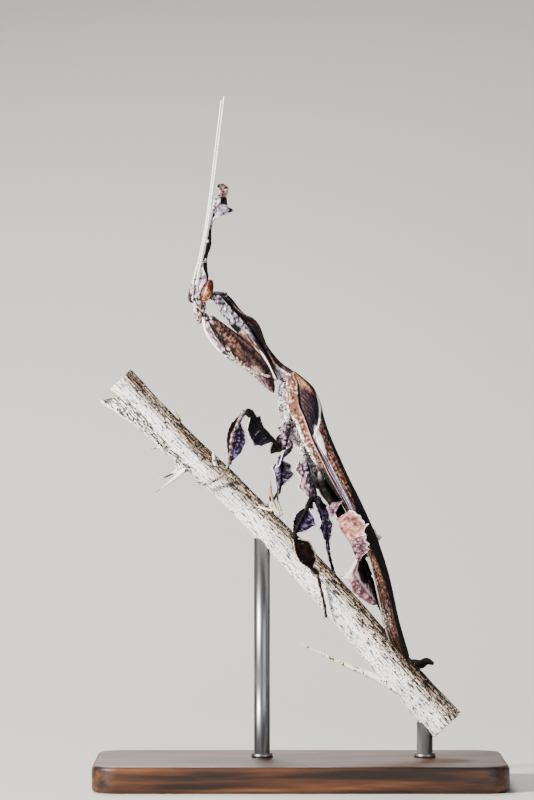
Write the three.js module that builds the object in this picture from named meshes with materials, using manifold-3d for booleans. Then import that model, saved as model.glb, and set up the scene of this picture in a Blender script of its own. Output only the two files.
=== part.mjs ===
// An adult male ghost mantis (Phyllocrania paradoxa), life size, as it climbs a dry thistle stem head up.
// A cut length of the stem is its perch, and a flat base with two rods holds the perch.
// Millimetres. +X runs from the head's side to the tail's side, +Y from the insect's left side to its
// right side, +Z up. The origin is the middle of the base's underside.
import * as THREE from "three";
import { mergeVertices } from "three/addons/utils/BufferGeometryUtils.js";
import Module from "manifold-3d";

const wasm = await Module();
wasm.setup();

// Driving sizes
const GAP = 0.3; // between two nodes that meet
const LEAF = 0.5; // thickness of wings, lobes and other thin plates
const TEGMEN = 34.6; // length of a forewing
const ABDOMEN = { front: 9, rear: 27.8 }; // places along the body, from the wing base towards the tail
const STEM_BACK = 0.9; // how far the stem lies to the right of the insect's middle plane
const TAIL_TURN = 0.7; // how far the wing tips lie to the left of it
const BASE = { length: 46, depth: 24, height: 3, corner: 3 };
const ROD_RADIUS = 0.9;
const LEFT = -1; // the insect's left is -Y
const RIGHT = 1;

// The body axis starts at the wing base and falls towards the tail; the back is rolled to the left.
const WING_BASE = [-0.8, 0, 46.3];
const BODY_SLOPE = THREE.MathUtils.degToRad(68.4);
const BODY_ROLL = THREE.MathUtils.degToRad(10);

// Vectors are plain arrays of three numbers.
const plus = (a, b) => a.map((v, i) => v + b[i]);
const minus = (a, b) => a.map((v, i) => v - b[i]);
const times = (a, k) => a.map((v) => v * k);
const dot = (a, b) => a[0] * b[0] + a[1] * b[1] + a[2] * b[2];
const cross = (a, b) => [a[1] * b[2] - a[2] * b[1], a[2] * b[0] - a[0] * b[2], a[0] * b[1] - a[1] * b[0]];
const unit = (a) => times(a, 1 / Math.hypot(...a));
const sum = (...vectors) => vectors.reduce(plus);
const ACROSS = [1, 0, 0];
const DEPTH = [0, 1, 0];

const TAILWARD = [Math.cos(BODY_SLOPE), 0, -Math.sin(BODY_SLOPE)];
const BACKWARD = [Math.sin(BODY_SLOPE), 0, Math.cos(BODY_SLOPE)];
const BODY_SIDE = plus(times(DEPTH, Math.cos(BODY_ROLL)), times(BACKWARD, Math.sin(BODY_ROLL)));
const BODY_UP = minus(times(BACKWARD, Math.cos(BODY_ROLL)), times(DEPTH, Math.sin(BODY_ROLL)));

// A place on the trunk: mm along the body from the wing base, mm to its right, mm above its axis.
const onBody = (along, right, up) =>
  sum(
    WING_BASE,
    times(TAILWARD, along),
    times(BODY_SIDE, right),
    times(BODY_UP, up),
    times(DEPTH, -TAIL_TURN * (along / TEGMEN) ** 2),
  );

// Curves through [place, value] pairs: smooth for bodies, straight-sided for ragged edges.
function smooth(pairs) {
  const curve = new THREE.CubicInterpolant(pairs.map((p) => p[0]), pairs.map((p) => p[1]), 1);
  return (t) => curve.evaluate(t)[0];
}
function ragged(pairs) {
  const curve = new THREE.LinearInterpolant(pairs.map((p) => p[0]), pairs.map((p) => p[1]), 1);
  return (t) => curve.evaluate(t)[0];
}

// A straight route from one place to another.
const straight = (from, to) => [from, times(plus(from, to), 0.5), to];

// A straight-sided line through points in space, read by its length from 0 to 1.
function chain(points) {
  const places = [0];
  for (let i = 1; i < points.length; i++) {
    places.push(places[i - 1] + Math.hypot(...minus(points[i], points[i - 1])));
  }
  const curve = new THREE.LinearInterpolant(places.map((place) => place / places.at(-1)), points.flat(), 3);
  return (t) => [...curve.evaluate(t)];
}

// A route through points, with its place and its direction at t from 0 to 1.
function route(points) {
  const vectors = points.map((p) => new THREE.Vector3(...p));
  const curve = new THREE.CatmullRomCurve3(vectors, false, "centripetal");
  return {
    at: (t) => curve.getPointAt(THREE.MathUtils.clamp(t, 0, 1)).toArray(),
    toward: (t) => curve.getTangentAt(THREE.MathUtils.clamp(t, 0, 1)).toArray(),
  };
}

// A closed solid from points and triangles, turned so that its faces look out.
function solid(points, triangles) {
  const build = (tris) =>
    new wasm.Manifold(
      new wasm.Mesh({
        numProp: 3,
        vertProperties: new Float32Array(points.flat()),
        triVerts: new Uint32Array(tris.flat()),
      }),
    );
  const made = build(triangles);
  return made.volume() < 0 ? build(triangles.map(([a, b, c]) => [a, c, b])) : made;
}

// A solid through closed rings of points, all of the same count, with flat ends.
function loft(rings) {
  const count = rings[0].length;
  const triangles = [];
  for (let i = 0; i + 1 < rings.length; i++) {
    for (let k = 0; k < count; k++) {
      const a = i * count + k;
      const b = i * count + ((k + 1) % count);
      triangles.push([a, b, b + count], [a, b + count, a + count]);
    }
  }
  const last = (rings.length - 1) * count;
  for (let k = 1; k + 1 < count; k++) {
    triangles.push([0, k + 1, k], [last, last + k, last + k + 1]);
  }
  return solid(rings.flat(), triangles);
}

// A rod of oval section along a route. wide(t) is its half width square to `side`, deep(t) along it.
function rod(points, wide, deep, { sides = 8, steps = 8, side = DEPTH } = {}) {
  const path = route(points);
  const rings = [];
  for (let i = 0; i <= steps; i++) {
    const t = i / steps;
    const forward = path.toward(t);
    const along = unit(minus(side, times(forward, dot(side, forward))));
    const square = cross(along, forward);
    const ring = [];
    for (let k = 0; k < sides; k++) {
      const a = (2 * Math.PI * (k + 0.5)) / sides;
      ring.push(sum(path.at(t), times(square, wide(t) * Math.cos(a)), times(along, deep(t) * Math.sin(a))));
    }
    rings.push(ring);
  }
  return loft(rings);
}

// A thin plate on a surface(u, v), u and v from 0 to 1, split alike on both faces.
// lift(u, v) raises its outer face, as a vein does.
function plate(surface, rows, columns, { thick = LEAF, lift = () => 0, vs = null, turn = 1 } = {}) {
  const across = vs ?? Array.from({ length: columns + 1 }, (_, j) => j / columns);
  const count = across.length;
  const faces = [[], []];
  const step = 1e-3;
  for (let i = 0; i <= rows; i++) {
    const u = i / rows;
    for (const v of across) {
      const here = surface(u, v);
      const du = minus(surface(Math.min(u + step, 1), v), surface(Math.max(u - step, 0), v));
      const dv = minus(surface(u, Math.min(v + step, 1)), surface(u, Math.max(v - step, 0)));
      const out = times(unit(cross(du, dv)), turn);
      faces[0].push(plus(here, times(out, thick / 2 + lift(u, v))));
      faces[1].push(minus(here, times(out, thick / 2)));
    }
  }
  const size = faces[0].length;
  const triangles = [];
  const quad = (a, b, c, d) => triangles.push([a, b, c], [a, c, d]);
  for (let i = 0; i < rows; i++) {
    for (let j = 0; j + 1 < count; j++) {
      const a = i * count + j;
      triangles.push([a, a + count, a + count + 1], [a, a + count + 1, a + 1]);
      triangles.push(
        [a + size, a + count + 1 + size, a + count + size],
        [a + size, a + 1 + size, a + count + 1 + size],
      );
    }
  }
  for (let i = 0; i < rows; i++) {
    const a = i * count;
    const b = a + count - 1;
    quad(a, a + size, a + count + size, a + count);
    quad(b + size, b, b + count, b + count + size);
  }
  for (let j = 0; j + 1 < count; j++) {
    const b = rows * count + j;
    quad(j + size, j, j + 1, j + 1 + size);
    quad(b, b + size, b + 1 + size, b + 1);
  }
  return solid([...faces[0], ...faces[1]], triangles);
}

// A leaf-like lobe on a limb: it stands along the limb's middle line from t0 to t1, reaches `reach`
// (ragged pairs over 0 to 1) towards `away`, and its free edge bends `curl` to one side.
function lobe(points, [t0, t1], away, reach, { curl = 0, steps = 6 } = {}) {
  const path = route(points);
  const edge = ragged(reach);
  const surface = (u, v) => {
    const t = t0 + (t1 - t0) * u;
    const forward = path.toward(t);
    const out = unit(minus(away, times(forward, dot(away, forward))));
    const bend = times(cross(forward, out), curl * v * v);
    return sum(path.at(t), times(out, edge(u) * v), bend);
  };
  return plate(surface, steps, 2);
}

// A straight spine of four sides that ends in a point.
const SPINE_TIP = 0.08; // its tip's radius as a share of its root's
function spine(from, to, radius) {
  const size = (t) => radius * (1 - (1 - SPINE_TIP) * t);
  const lengthwise = Math.abs(unit(minus(to, from))[1]) > 0.8;
  return rod(straight(from, to), size, size, { sides: 4, steps: 1, side: lengthwise ? ACROSS : DEPTH });
}

// An egg-shaped body: centre and three half axes. Its two poles are flattened.
const POLE = 0.06; // where the first ring lies, as a share of the way from pole to pole
function egg(centre, axes, rings = 7, sides = 10) {
  const [a, b, c] = axes;
  const built = [];
  for (let i = 0; i <= rings; i++) {
    const angle = Math.PI * (POLE + ((1 - 2 * POLE) * i) / rings);
    const ring = [];
    for (let k = 0; k < sides; k++) {
      const turn = (2 * Math.PI * k) / sides;
      ring.push(
        sum(
          centre,
          times(c, Math.cos(angle)),
          times(a, Math.sin(angle) * Math.cos(turn)),
          times(b, Math.sin(angle) * Math.sin(turn)),
        ),
      );
    }
    built.push(ring);
  }
  return loft(built);
}

// Nodes in the order in which they keep their shape: a later one is cut clear of the earlier ones.
const nodes = new Map();
const largest = (shape) => shape.decompose().sort((a, b) => b.volume() - a.volume())[0];
// What grows a neighbour by the gap: its flat sides lie nearer than its tips.
const brush = fromGeometry(new THREE.OctahedronGeometry(1.1 * GAP));
const SMALLEST = 0.03; // details under this size are smoothed away

function boxOf(shape) {
  const { min, max } = shape.boundingBox();
  return { min: minus(min, [GAP, GAP, GAP]), max: plus(max, [GAP, GAP, GAP]) };
}
const meets = (a, b) => [0, 1, 2].every((i) => a.min[i] < b.max[i] && b.min[i] < a.max[i]);

// Takes `other`, grown by the gap, off `shape`. Only the part of `other` near the shape is grown.
function clearOf(shape, other) {
  const box = boxOf(shape);
  if (!meets(box, boxOf(other)) || shape.minGap(other, 2 * GAP) > 0.9 * GAP) return shape;
  const middle = times(plus(box.min, box.max), 0.5);
  const window = fromGeometry(new THREE.BoxGeometry(...minus(box.max, box.min))).translate(middle);
  const near = other.intersect(window);
  if (near.isEmpty()) return shape;
  const grown = near.decompose().map((piece) => piece.minkowskiSum(brush));
  return grown.reduce((left, piece) => left.subtract(piece), shape);
}

function node(name, material, pieces) {
  let shape = pieces.length > 1 ? wasm.Manifold.union(pieces) : pieces[0];
  for (const other of nodes.values()) {
    shape = clearOf(shape, other.shape);
  }
  nodes.set(name, { shape: largest(shape.simplify(SMALLEST)), material });
}

function material(color, roughness, metalness = 0) {
  return new THREE.MeshStandardMaterial({ color, roughness, metalness });
}
const CUTICLE = material(0x6a4d52, 0.7);
const LOBES = material(0x4b3450, 0.75);
const PALE = material(0xc9b9bd, 0.75);
const WING = material(0x8a6a5a, 0.6);
const EYE = material(0xb9763d, 0.25);
const DRY_STEM = material(0xcfc8bc, 0.9);
const WOOD = material(0x8b6a45, 0.6);
const STEEL = material(0x9a9da1, 0.35, 1);

// ---- Wings: a roof over the back, from the middle line down to the leading edge -------------------
const wing = {
  top: smooth([
    [0, 0.2], [2.4, 1.46], [3.7, 1.6], [6.9, 1.25], [12, 1.35], [17, 1.7], [21, 1.85], [25, 1.6],
    [30.8, 0.75], [TEGMEN, 0.4],
  ]),
  edge: smooth([
    [0, -0.45], [2.2, -1.35], [3.8, -1.74], [5.1, -1.48], [8.5, -1.37], [11.8, -0.75], [15.6, 0.1],
    [19.2, 0.4], [21.8, 0.58], [23.7, 0.38], [27.5, -0.26], [30.7, -0.8], [32.5, -0.85], [TEGMEN, -0.3],
  ]),
  half: smooth([
    [0, 1.3], [2, 2.1], [5, 2.55], [12, 2.5], [18, 2.3], [24, 1.9], [28, 1.55], [32, 1.15], [TEGMEN, 0.6],
  ]),
};
const FORE_START = 0.15;
const RIDGE_HALF = 0.18; // the two forewings meet along the back this far from the middle plane
const FLATTEST = 0.12; // least half width and height of the roof, at its ends
const VEINS = [0.22, 0.42, 0.6, 0.74, 0.88]; // places across the forewing, from the middle line
const VEIN_HEIGHT = 0.14;
const VEIN_HALF = 0.028; // half width, as a share of the way across

// A place on the roof, `down` mm under its outer face; v runs from the middle line to the leading edge.
function onRoof(side, along, v, down) {
  const angle = (v * Math.PI) / 2;
  const half = Math.max(wing.half(along) - down, FLATTEST);
  const tall = Math.max(wing.top(along) - wing.edge(along) - 0.4 * down, FLATTEST);
  const right = side * (RIDGE_HALF + (half - RIDGE_HALF) * Math.sin(angle));
  return onBody(along, right, wing.top(along) - down - tall * (1 - Math.cos(angle)));
}

function forewing(side) {
  const rows = 22;
  const vs = [0, ...VEINS.flatMap((v) => [v - VEIN_HALF, v, v + VEIN_HALF]), 1];
  const surface = (u, v) => {
    const roundTip = 1 - 0.045 * (2 * v - 0.7) ** 2 * u ** 6;
    return onRoof(side, FORE_START + (TEGMEN - FORE_START) * u * roundTip, v, LEAF / 2);
  };
  const lift = (u, v) => (VEINS.includes(v) ? VEIN_HEIGHT * (1 - 0.5 * u) : 0);
  return [plate(surface, rows, 0, { vs, lift, turn: side })];
}

// The hindwings lie folded under the forewings, near the middle line.
const HIND = { start: 2.2, end: 31, inner: 0.07, outer: 0.45, slack: 0.1 };
function hindwing(side) {
  const down = GAP + 1.5 * LEAF + HIND.slack;
  const surface = (u, v) => {
    const along = HIND.start + (HIND.end - HIND.start) * u;
    return onRoof(side, along, HIND.inner + (HIND.outer - HIND.inner) * v, down);
  };
  return [plate(surface, 12, 4, { turn: side })];
}

node("forewing_left", WING, forewing(LEFT));
node("forewing_right", WING, forewing(RIGHT));
node("hindwing_left", WING, hindwing(LEFT));
node("hindwing_right", WING, hindwing(RIGHT));

// ---- Trunk ---------------------------------------------------------------------------------------
// Oval sections along the body: half width, top and bottom over the place along it.
function trunk(from, to, half, top, bottom, steps, sides = 14) {
  const rings = [];
  for (let i = 0; i <= steps; i++) {
    const along = from + ((to - from) * i) / steps;
    const middle = (top(along) + bottom(along)) / 2;
    const tall = (top(along) - bottom(along)) / 2;
    const ring = [];
    for (let k = 0; k < sides; k++) {
      const a = (2 * Math.PI * k) / sides;
      ring.push(onBody(along, half(along) * Math.cos(a), middle + tall * Math.sin(a)));
    }
    rings.push(ring);
  }
  return loft(rings);
}

const thorax = trunk(
  0.4,
  8.6,
  smooth([[0.4, 0.9], [1.5, 1.4], [4.2, 1.75], [6.5, 1.7], [8.6, 1.3]]),
  smooth([[0.4, -0.75], [1.5, -0.7], [4.2, -0.65], [6.5, -0.8], [8.6, -0.9]]),
  smooth([[0.4, -1.5], [1.5, -2.3], [4.2, -3.2], [6.5, -3.1], [8.6, -2.3]]),
  9,
);
node("thorax", CUTICLE, [thorax]);

// The abdomen's side lobes run from a root under the belly, round a fold, to a toothed free edge beside
// the wing. Across each of them lies a parabola through the three lines.
const FOLD = 0.4; // where the fold lies between root and free edge
function sideLobe({ root, fold, free, steps }) {
  const lines = [root, fold, free].map(chain);
  const surface = (u, v) => {
    const weights = [
      ((v - FOLD) * (v - 1)) / FOLD,
      (v * (v - 1)) / (FOLD * (FOLD - 1)),
      (v * (v - FOLD)) / (1 - FOLD),
    ];
    return sum(...lines.map((line, i) => times(line(u), weights[i])));
  };
  return plate(surface, steps, 3);
}
const atDepth = (points, y) => points.map(([x, , z]) => [x, y, z]);
const smallLobe = {
  root: [[4.26, -0.9, 31.7], [3.81, -0.9, 30.46]],
  fold: [[3.7, -2.2, 31.64], [3.02, -2.4, 31.02], [3.47, -2.2, 30.18]],
  free: [[4.7, -2.9, 31.83], [4.31, -2.9, 31.36], [4.03, -2.8, 30.8], [3.64, -2.5, 30.18]],
  steps: 4,
};
const lastLobe = {
  root: [[6.72, -0.7, 25.76], [7.28, -0.7, 23.74], [7.95, -0.6, 22.06], [8.62, -0.5, 20.5]],
  fold: [
    [6.53, -1.8, 25.54], [6.29, -2.0, 24.08], [6.72, -2.0, 22.85], [7.62, -1.7, 21.73],
    [8.62, -1.0, 20.38],
  ],
  free: [
    [6.34, -1.9, 25.54], [5.88, -2.4, 24.36], [5.38, -2.5, 23.69], [4.54, -2.5, 23.24], [5.32, -2.6, 23.02],
    [5.71, -2.5, 21.84], [6.44, -2.3, 21.17], [7.39, -1.9, 20.5], [8.71, -1.1, 20.25],
  ],
  steps: 10,
};
const sideLobes = [
  smallLobe,
  {
    root: [[4.48, -0.8, 30.13], [5.82, -0.8, 27.66]],
    fold: [[4.09, -1.9, 29.85], [4.48, -1.9, 28.9], [4.93, -1.9, 28.22], [5.41, -1.9, 27.44]],
    free: [
      [5.49, -3.2, 30.8], [6.38, -3.3, 30.33], [6.87, -3.3, 29.79], [7.19, -3.35, 29.2],
      [7.65, -3.4, 29.34], [7.26, -3.35, 28.9], [7.06, -3.3, 28.41], [7.43, -3.3, 28.02],
      [6.83, -3.2, 28.08],
    ],
    steps: 10,
  },
  {
    root: [[5.94, -0.7, 27.55], [6.83, -0.7, 25.54]],
    fold: [[5.47, -2.0, 27.44], [5.82, -1.9, 26.77], [6.05, -1.8, 26.1], [6.31, -1.6, 25.31]],
    free: [
      [6.72, -3.1, 27.93], [7.39, -3.1, 27.89], [7.28, -3.05, 27.4], [7.76, -3.1, 27.1],
      [7.39, -3.0, 26.73], [7.75, -3.0, 26.48], [6.94, -2.6, 25.73], [6.66, -2.1, 25.2],
    ],
    steps: 8,
  },
  lastLobe,
  {
    root: [[4.59, 0.7, 30.24], [5.94, 0.6, 27.78]],
    fold: [[4.59, 1.9, 30.02], [5.49, 1.9, 28.34], [5.94, 1.8, 27.44]],
    free: [[6.27, 3.1, 30.97], [6.83, 3.2, 30.13], [7.39, 3.2, 29.29], [7.95, 3.1, 28.22]],
    steps: 5,
  },
  {
    root: [[5.94, 0.6, 27.55], [6.83, 0.6, 25.65]],
    fold: [[5.94, 2.0, 27.33], [6.5, 1.9, 26.43], [7.06, 1.6, 25.54]],
    free: [
      [7.95, 3.0, 28.95], [8.69, 3.0, 28], [9.32, 3.05, 27.63], [8.92, 2.95, 26.88], [9.11, 2.9, 26.29],
      [7.95, 2.2, 25.42],
    ],
    steps: 7,
  },
  {
    root: atDepth(smallLobe.root, 0.9),
    fold: atDepth(smallLobe.fold, 2.3),
    free: atDepth(smallLobe.free, 2.9),
    steps: 4,
  },
  {
    root: atDepth(lastLobe.root, 0.3),
    fold: atDepth(lastLobe.fold, 1.2),
    free: atDepth(lastLobe.free, 1.6),
    steps: 8,
  },
];

function abdomenPieces() {
  const core = trunk(
    ABDOMEN.front,
    ABDOMEN.rear,
    smooth([[9, 1.2], [12, 1.45], [16, 1.45], [19, 1.3], [22, 1.0], [26, 0.8], [27.8, 0.35]]),
    smooth([[9, -0.8], [12, -0.65], [16, -0.4], [19, -0.2], [23, -0.1], [26, -0.3], [27.8, -0.5]]),
    smooth([
      [9, -2.3], [10.5, -2.45], [12.3, -2.45], [14, -2.2], [16, -1.55], [18.4, -1.2], [20, -0.75],
      [22, -0.65], [25, -0.9], [27.8, -0.8],
    ]),
    16,
  );
  return [core, ...sideLobes.map(sideLobe)];
}
node("abdomen", CUTICLE, abdomenPieces());

for (const [name, side] of [["cercus_left", LEFT], ["cercus_right", RIGHT]]) {
  const base = onBody(27.2, side * 0.5, -0.6);
  const tip = onBody(29.4, side * 0.6, -0.45);
  const cercus = rod(
    straight(base, tip),
    (t) => 0.3 - 0.1 * t,
    (t) => 0.25 - 0.05 * t,
    { sides: 6, steps: 4 },
  );
  node(name, CUTICLE, [cercus]);
}

// ---- Prothorax: a keeled shield with leaf-like side margins --------------------------------------
const keel = [
  [-9.3, 0, 55.27], [-8.06, 0, 54.77], [-6.72, 0, 53.2], [-5.38, 0, 51.86], [-4.26, 0, 50.06],
  [-3.14, 0, 48.38], [-2.02, 0, 47.15], [-0.95, 0, 46.42],
];
const TOOTH = { out: 0.12, in: -0.05, strong: 1.6, weak: 0.7 }; // the side margins' teeth
function prothoraxPieces() {
  const path = route(keel);
  const half = smooth([
    [0, 0.75], [0.15, 0.95], [0.3, 1.5], [0.45, 2.2], [0.6, 1.7], [0.78, 1.05], [1, 1.35],
  ]);
  const lifted = smooth([[0, -0.4], [0.3, 0], [0.45, 0.5], [0.6, 0.15], [0.8, -0.45], [1, -0.4]]);
  const deep = smooth([[0, 1.25], [0.4, 1.3], [0.7, 1.5], [1, 1.7]]);
  const steps = 18;
  const rings = [];
  for (let i = 0; i <= steps; i++) {
    const t = i / steps;
    const forward = path.toward(t);
    const up = unit(cross(forward, DEPTH));
    const tooth = i % 2 ? TOOTH.out : TOOTH.in;
    const w = half(t) + tooth * (half(t) > 1.2 ? TOOTH.strong : TOOTH.weak);
    const e = lifted(t);
    const d = deep(t);
    const right = [
      [0.45 * w, 0.3 * e - 0.12], [w, e], [w, e - 0.45], [0.72, Math.min(e, 0) - 0.6], [0.6, -d + 0.3],
    ];
    const outline = [[0, 0.05], ...right, [0, -d], ...right.map(([y, h]) => [-y, h]).reverse()];
    rings.push(outline.map(([y, h]) => sum(path.at(t), times(DEPTH, y), times(up, h))));
  }
  const neck = rod(
    [[-8.74, 0, 54.6], [-9.3, -0.15, 54.66], [-9.74, -0.45, 54.77]],
    () => 0.5,
    () => 0.55,
    { sides: 8, steps: 3 },
  );
  return [loft(rings), neck];
}
node("prothorax", CUTICLE, prothoraxPieces());

// ---- Head: turned to its left, face down ----------------------------------------------------------
const FACE = unit([-0.8, -0.6, 0]);
const HEAD_LEFT = unit([0.6, -0.8, 0]);
const headLine = [
  [-10.77, -0.53, 58.3], [-10.95, -0.6, 57.9], [-11, -0.65, 57.12], [-11.14, -0.75, 56.45],
  [-11.18, -0.8, 55.78], [-11.21, -0.85, 55.1], [-11.36, -0.87, 54.32], [-11.39, -0.9, 53.76],
  [-11.39, -0.92, 53.2], [-11.41, -0.94, 52.75],
];
function headPieces() {
  const path = route(headLine);
  const half = smooth([
    [0, 0.42], [0.08, 0.57], [0.21, 0.86], [0.33, 1.0], [0.45, 1.12], [0.57, 1.1], [0.7, 0.86],
    [0.8, 0.68], [0.9, 0.55], [1, 0.48],
  ]);
  const deep = smooth([
    [0, 0.36], [0.08, 0.45], [0.21, 0.68], [0.33, 0.8], [0.45, 0.9], [0.57, 0.88], [0.7, 0.7],
    [0.8, 0.56], [0.9, 0.46], [1, 0.4],
  ]);
  const steps = 11;
  const sides = 12;
  const rings = [];
  for (let i = 0; i <= steps; i++) {
    const t = i / steps;
    const ring = [];
    for (let k = 0; k < sides; k++) {
      const a = (2 * Math.PI * k) / sides;
      const left = times(HEAD_LEFT, half(t) * Math.cos(a));
      const ahead = times(FACE, deep(t) * Math.sin(a));
      ring.push(sum(path.at(t), left, ahead));
    }
    rings.push(ring);
  }
  return [loft(rings)];
}
// The eyes are upright eggs at the head's two sides; their upper ends lean back and outwards.
const EYES = {
  half: 0.72,
  tall: 1.38,
  lean: [0.26, 0, 1],
  spread: 0.1,
  left: [-10.44, -2.0, 55.27],
  right: [-11.89, 0.25, 55.27],
};
function eye(centre, outward) {
  const upright = plus(times(unit(EYES.lean), EYES.tall), times(HEAD_LEFT, outward * EYES.spread));
  return egg(centre, [times(HEAD_LEFT, EYES.half), times(FACE, EYES.half), upright]);
}
node("eye_left", EYE, [eye(EYES.left, 1)]);
node("eye_right", EYE, [eye(EYES.right, -1)]);
node("head", CUTICLE, headPieces());

const PALP_RADIUS = 0.25;
// The mouthparts hang from the head's lower end: a narrow lip and a bent palp at each side of it.
function mouthPieces() {
  const lip = rod(
    [[-11.42, -1.0, 52.47], [-11.4, -1.0, 52.08], [-11.36, -1.0, 51.58]],
    (t) => 0.42 - 0.27 * t,
    (t) => 0.38 - 0.2 * t,
    { sides: 8, steps: 3 },
  );
  const pieces = [lip];
  for (const side of [LEFT, RIGHT]) {
    const y = -1 + 0.25 * side;
    const palp = [
      [-11.36, y, 52.3], [-11.03, y + 0.3 * side, 52.36], [-10.8, y + 0.4 * side, 52.14],
      [-10.86, y + 0.35 * side, 51.74],
    ];
    pieces.push(rod(palp, () => PALP_RADIUS, () => PALP_RADIUS, { sides: 6, steps: 5 }));
  }
  return pieces;
}
node("mouthparts", CUTICLE, mouthPieces());

// The crest: a narrow stalk that widens into a torn leaf, with a curled tip.
function crestPieces() {
  const stalk = rod(
    [
      [-10.72, -0.5, 58.58], [-10.55, -0.42, 59.36], [-10.35, -0.35, 60.09], [-10.25, -0.27, 60.7],
      [-10.15, -0.15, 61.49], [-10.1, -0.1, 62.16], [-9.97, 0, 62.83], [-9.74, 0, 63.62],
    ],
    smooth([[0, 0.3], [0.2, 0.26], [0.3, 0.28], [0.42, 0.29], [0.6, 0.26], [1, 0.26]]),
    () => 0.27,
    { sides: 8, steps: 10 },
  );
  // Height up the blade (0 to 1) against the places of its two edges, mm from the line low to high.
  const rear = ragged([
    [0, 0.08], [0.08, 0.15], [0.14, 0.55], [0.25, 1.4], [0.31, 1.85], [0.39, 2.2], [0.45, 1.6],
    [0.55, 1.4], [0.68, 1.25], [0.83, 1.2], [0.94, 0.75], [1, 0.4],
  ]);
  const front = ragged([
    [0, -0.08], [0.3, -0.12], [0.45, -0.15], [0.6, -0.2], [0.68, -0.1], [0.76, 0.1], [0.86, 0.15],
    [0.93, -0.2], [1, -0.2],
  ]);
  const low = [-10.08, -0.05, 62.5];
  const high = [-9.18, 0, 67.33];
  const blade = (u, v) => {
    const place = front(u) + (rear(u) - front(u)) * v;
    const bend = 0.3 * Math.sin(5 * u + 2.5 * v);
    return sum(times(low, 1 - u), times(high, u), times(ACROSS, place), times(DEPTH, bend));
  };
  return [stalk, plate(blade, 16, 3)];
}
node("crest", LOBES, crestPieces());

const antennae = {
  antenna_right: [
    [-11.92, -0.85, 56.17], [-11.8, -1.1, 56.78], [-11.61, -1.25, 57.57], [-11.32, -1.35, 58.58],
    [-11.04, -1.45, 59.92], [-10.8, -1.5, 61.04], [-10.42, -1.5, 63.28], [-10.08, -1.4, 65.74],
    [-9.45, -1.2, 71.12], [-8.8, -1.0, 76.64],
  ],
  antenna_left: [
    [-11.16, -1.6, 56.34], [-11.24, -1.95, 57.01], [-11.2, -2.2, 57.79], [-11.03, -2.35, 58.69],
    [-10.82, -2.45, 59.92], [-10.58, -2.5, 61.04], [-10.19, -2.5, 63.28], [-9.86, -2.4, 65.74],
    [-9.18, -2.2, 71.12], [-8.49, -2.0, 77],
  ],
};
for (const [name, points] of Object.entries(antennae)) {
  const radius = (t) => 0.26 - 0.08 * t;
  node(name, PALE, [rod(points, radius, radius, { sides: 6, steps: 22 })]);
}

// ---- Forelegs: folded, the shin shut against the underside of the thigh ------------------------------
// Catching spines in a row along the thigh, near the knee.
const CATCH = {
  count: 4,
  first: 0.1,
  spacing: 0.075,
  out: 0.35,
  aside: 0.15,
  reach: 0.6,
  spread: 0.1,
  radius: 0.22,
};
function foreleg(name, side) {
  const y = (v) => side * v;
  const coxaLine = [
    [-9.46, y(1.5), 54.6], [-8.4, y(1.5), 53.31], [-7.28, y(1.4), 51.97], [-5.6, y(1.25), 50.06],
    [-4.03, y(1.15), 48.05], [-2.58, y(1.05), 45.36],
  ];
  const coxa = rod(
    coxaLine,
    smooth([[0, 0.5], [0.14, 0.62], [0.36, 0.66], [0.55, 0.45], [0.72, 0.3], [0.9, 0.25], [1, 0.3]]),
    smooth([[0, 0.4], [0.4, 0.42], [0.7, 0.28], [1, 0.28]]),
    { sides: 8, steps: 10 },
  );
  node("fore_coxa_" + name, PALE, [coxa]);
  const femurLine = [
    [-2.86, y(1.05), 44.02], [-4.14, y(1.1), 46.14], [-6.72, y(1.1), 48.78], [-8.4, y(1.1), 50.51],
    [-10.25, y(1.1), 52.47],
  ];
  const femur = rod(
    femurLine,
    smooth([
      [0, 0.24], [0.08, 0.55], [0.2, 0.95], [0.4, 1.22], [0.58, 1.15], [0.78, 0.8], [0.93, 0.5],
      [1, 0.38],
    ]),
    smooth([[0, 0.35], [0.3, 0.55], [0.7, 0.5], [1, 0.3]]),
    { sides: 10, steps: 12 },
  );
  const path = route(femurLine);
  const spines = [];
  for (let i = 0; i < CATCH.count; i++) {
    const root = path.at(CATCH.first + CATCH.spacing * i);
    const from = plus(root, [-CATCH.out, side * CATCH.aside, -CATCH.out]);
    const to = plus(from, [-CATCH.reach, side * CATCH.spread, -CATCH.reach]);
    spines.push(spine(from, to, CATCH.radius));
  }
  node("fore_femur_" + name, CUTICLE, [femur, ...spines]);
  const tibiaLine = [
    [-10.7, y(1.1), 52.47], [-10.25, y(1.1), 50.96], [-9.41, y(1.1), 49.62], [-8.4, y(1.1), 48.44],
    [-7.5, y(1.15), 47.6],
  ];
  const tibia = rod(
    tibiaLine,
    smooth([[0, 0.3], [0.3, 0.46], [0.6, 0.46], [0.85, 0.34], [1, 0.2]]),
    () => 0.28,
    { sides: 8, steps: 8 },
  );
  node("fore_tibia_" + name, PALE, [tibia]);
  const tarsusLine = [
    [-7.95, y(1.75), 48.16], [-7.17, y(2.0), 47.43], [-6.05, y(2.0), 46.7], [-4.7, y(1.95), 46.09],
    [-3.47, y(1.8), 45.7],
  ];
  const tarsus = rod(tarsusLine, (t) => 0.27 - 0.05 * t, () => 0.25, { sides: 6, steps: 8 });
  node("fore_tarsus_" + name, PALE, [tarsus]);
}
foreleg("left", LEFT);
foreleg("right", RIGHT);

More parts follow.
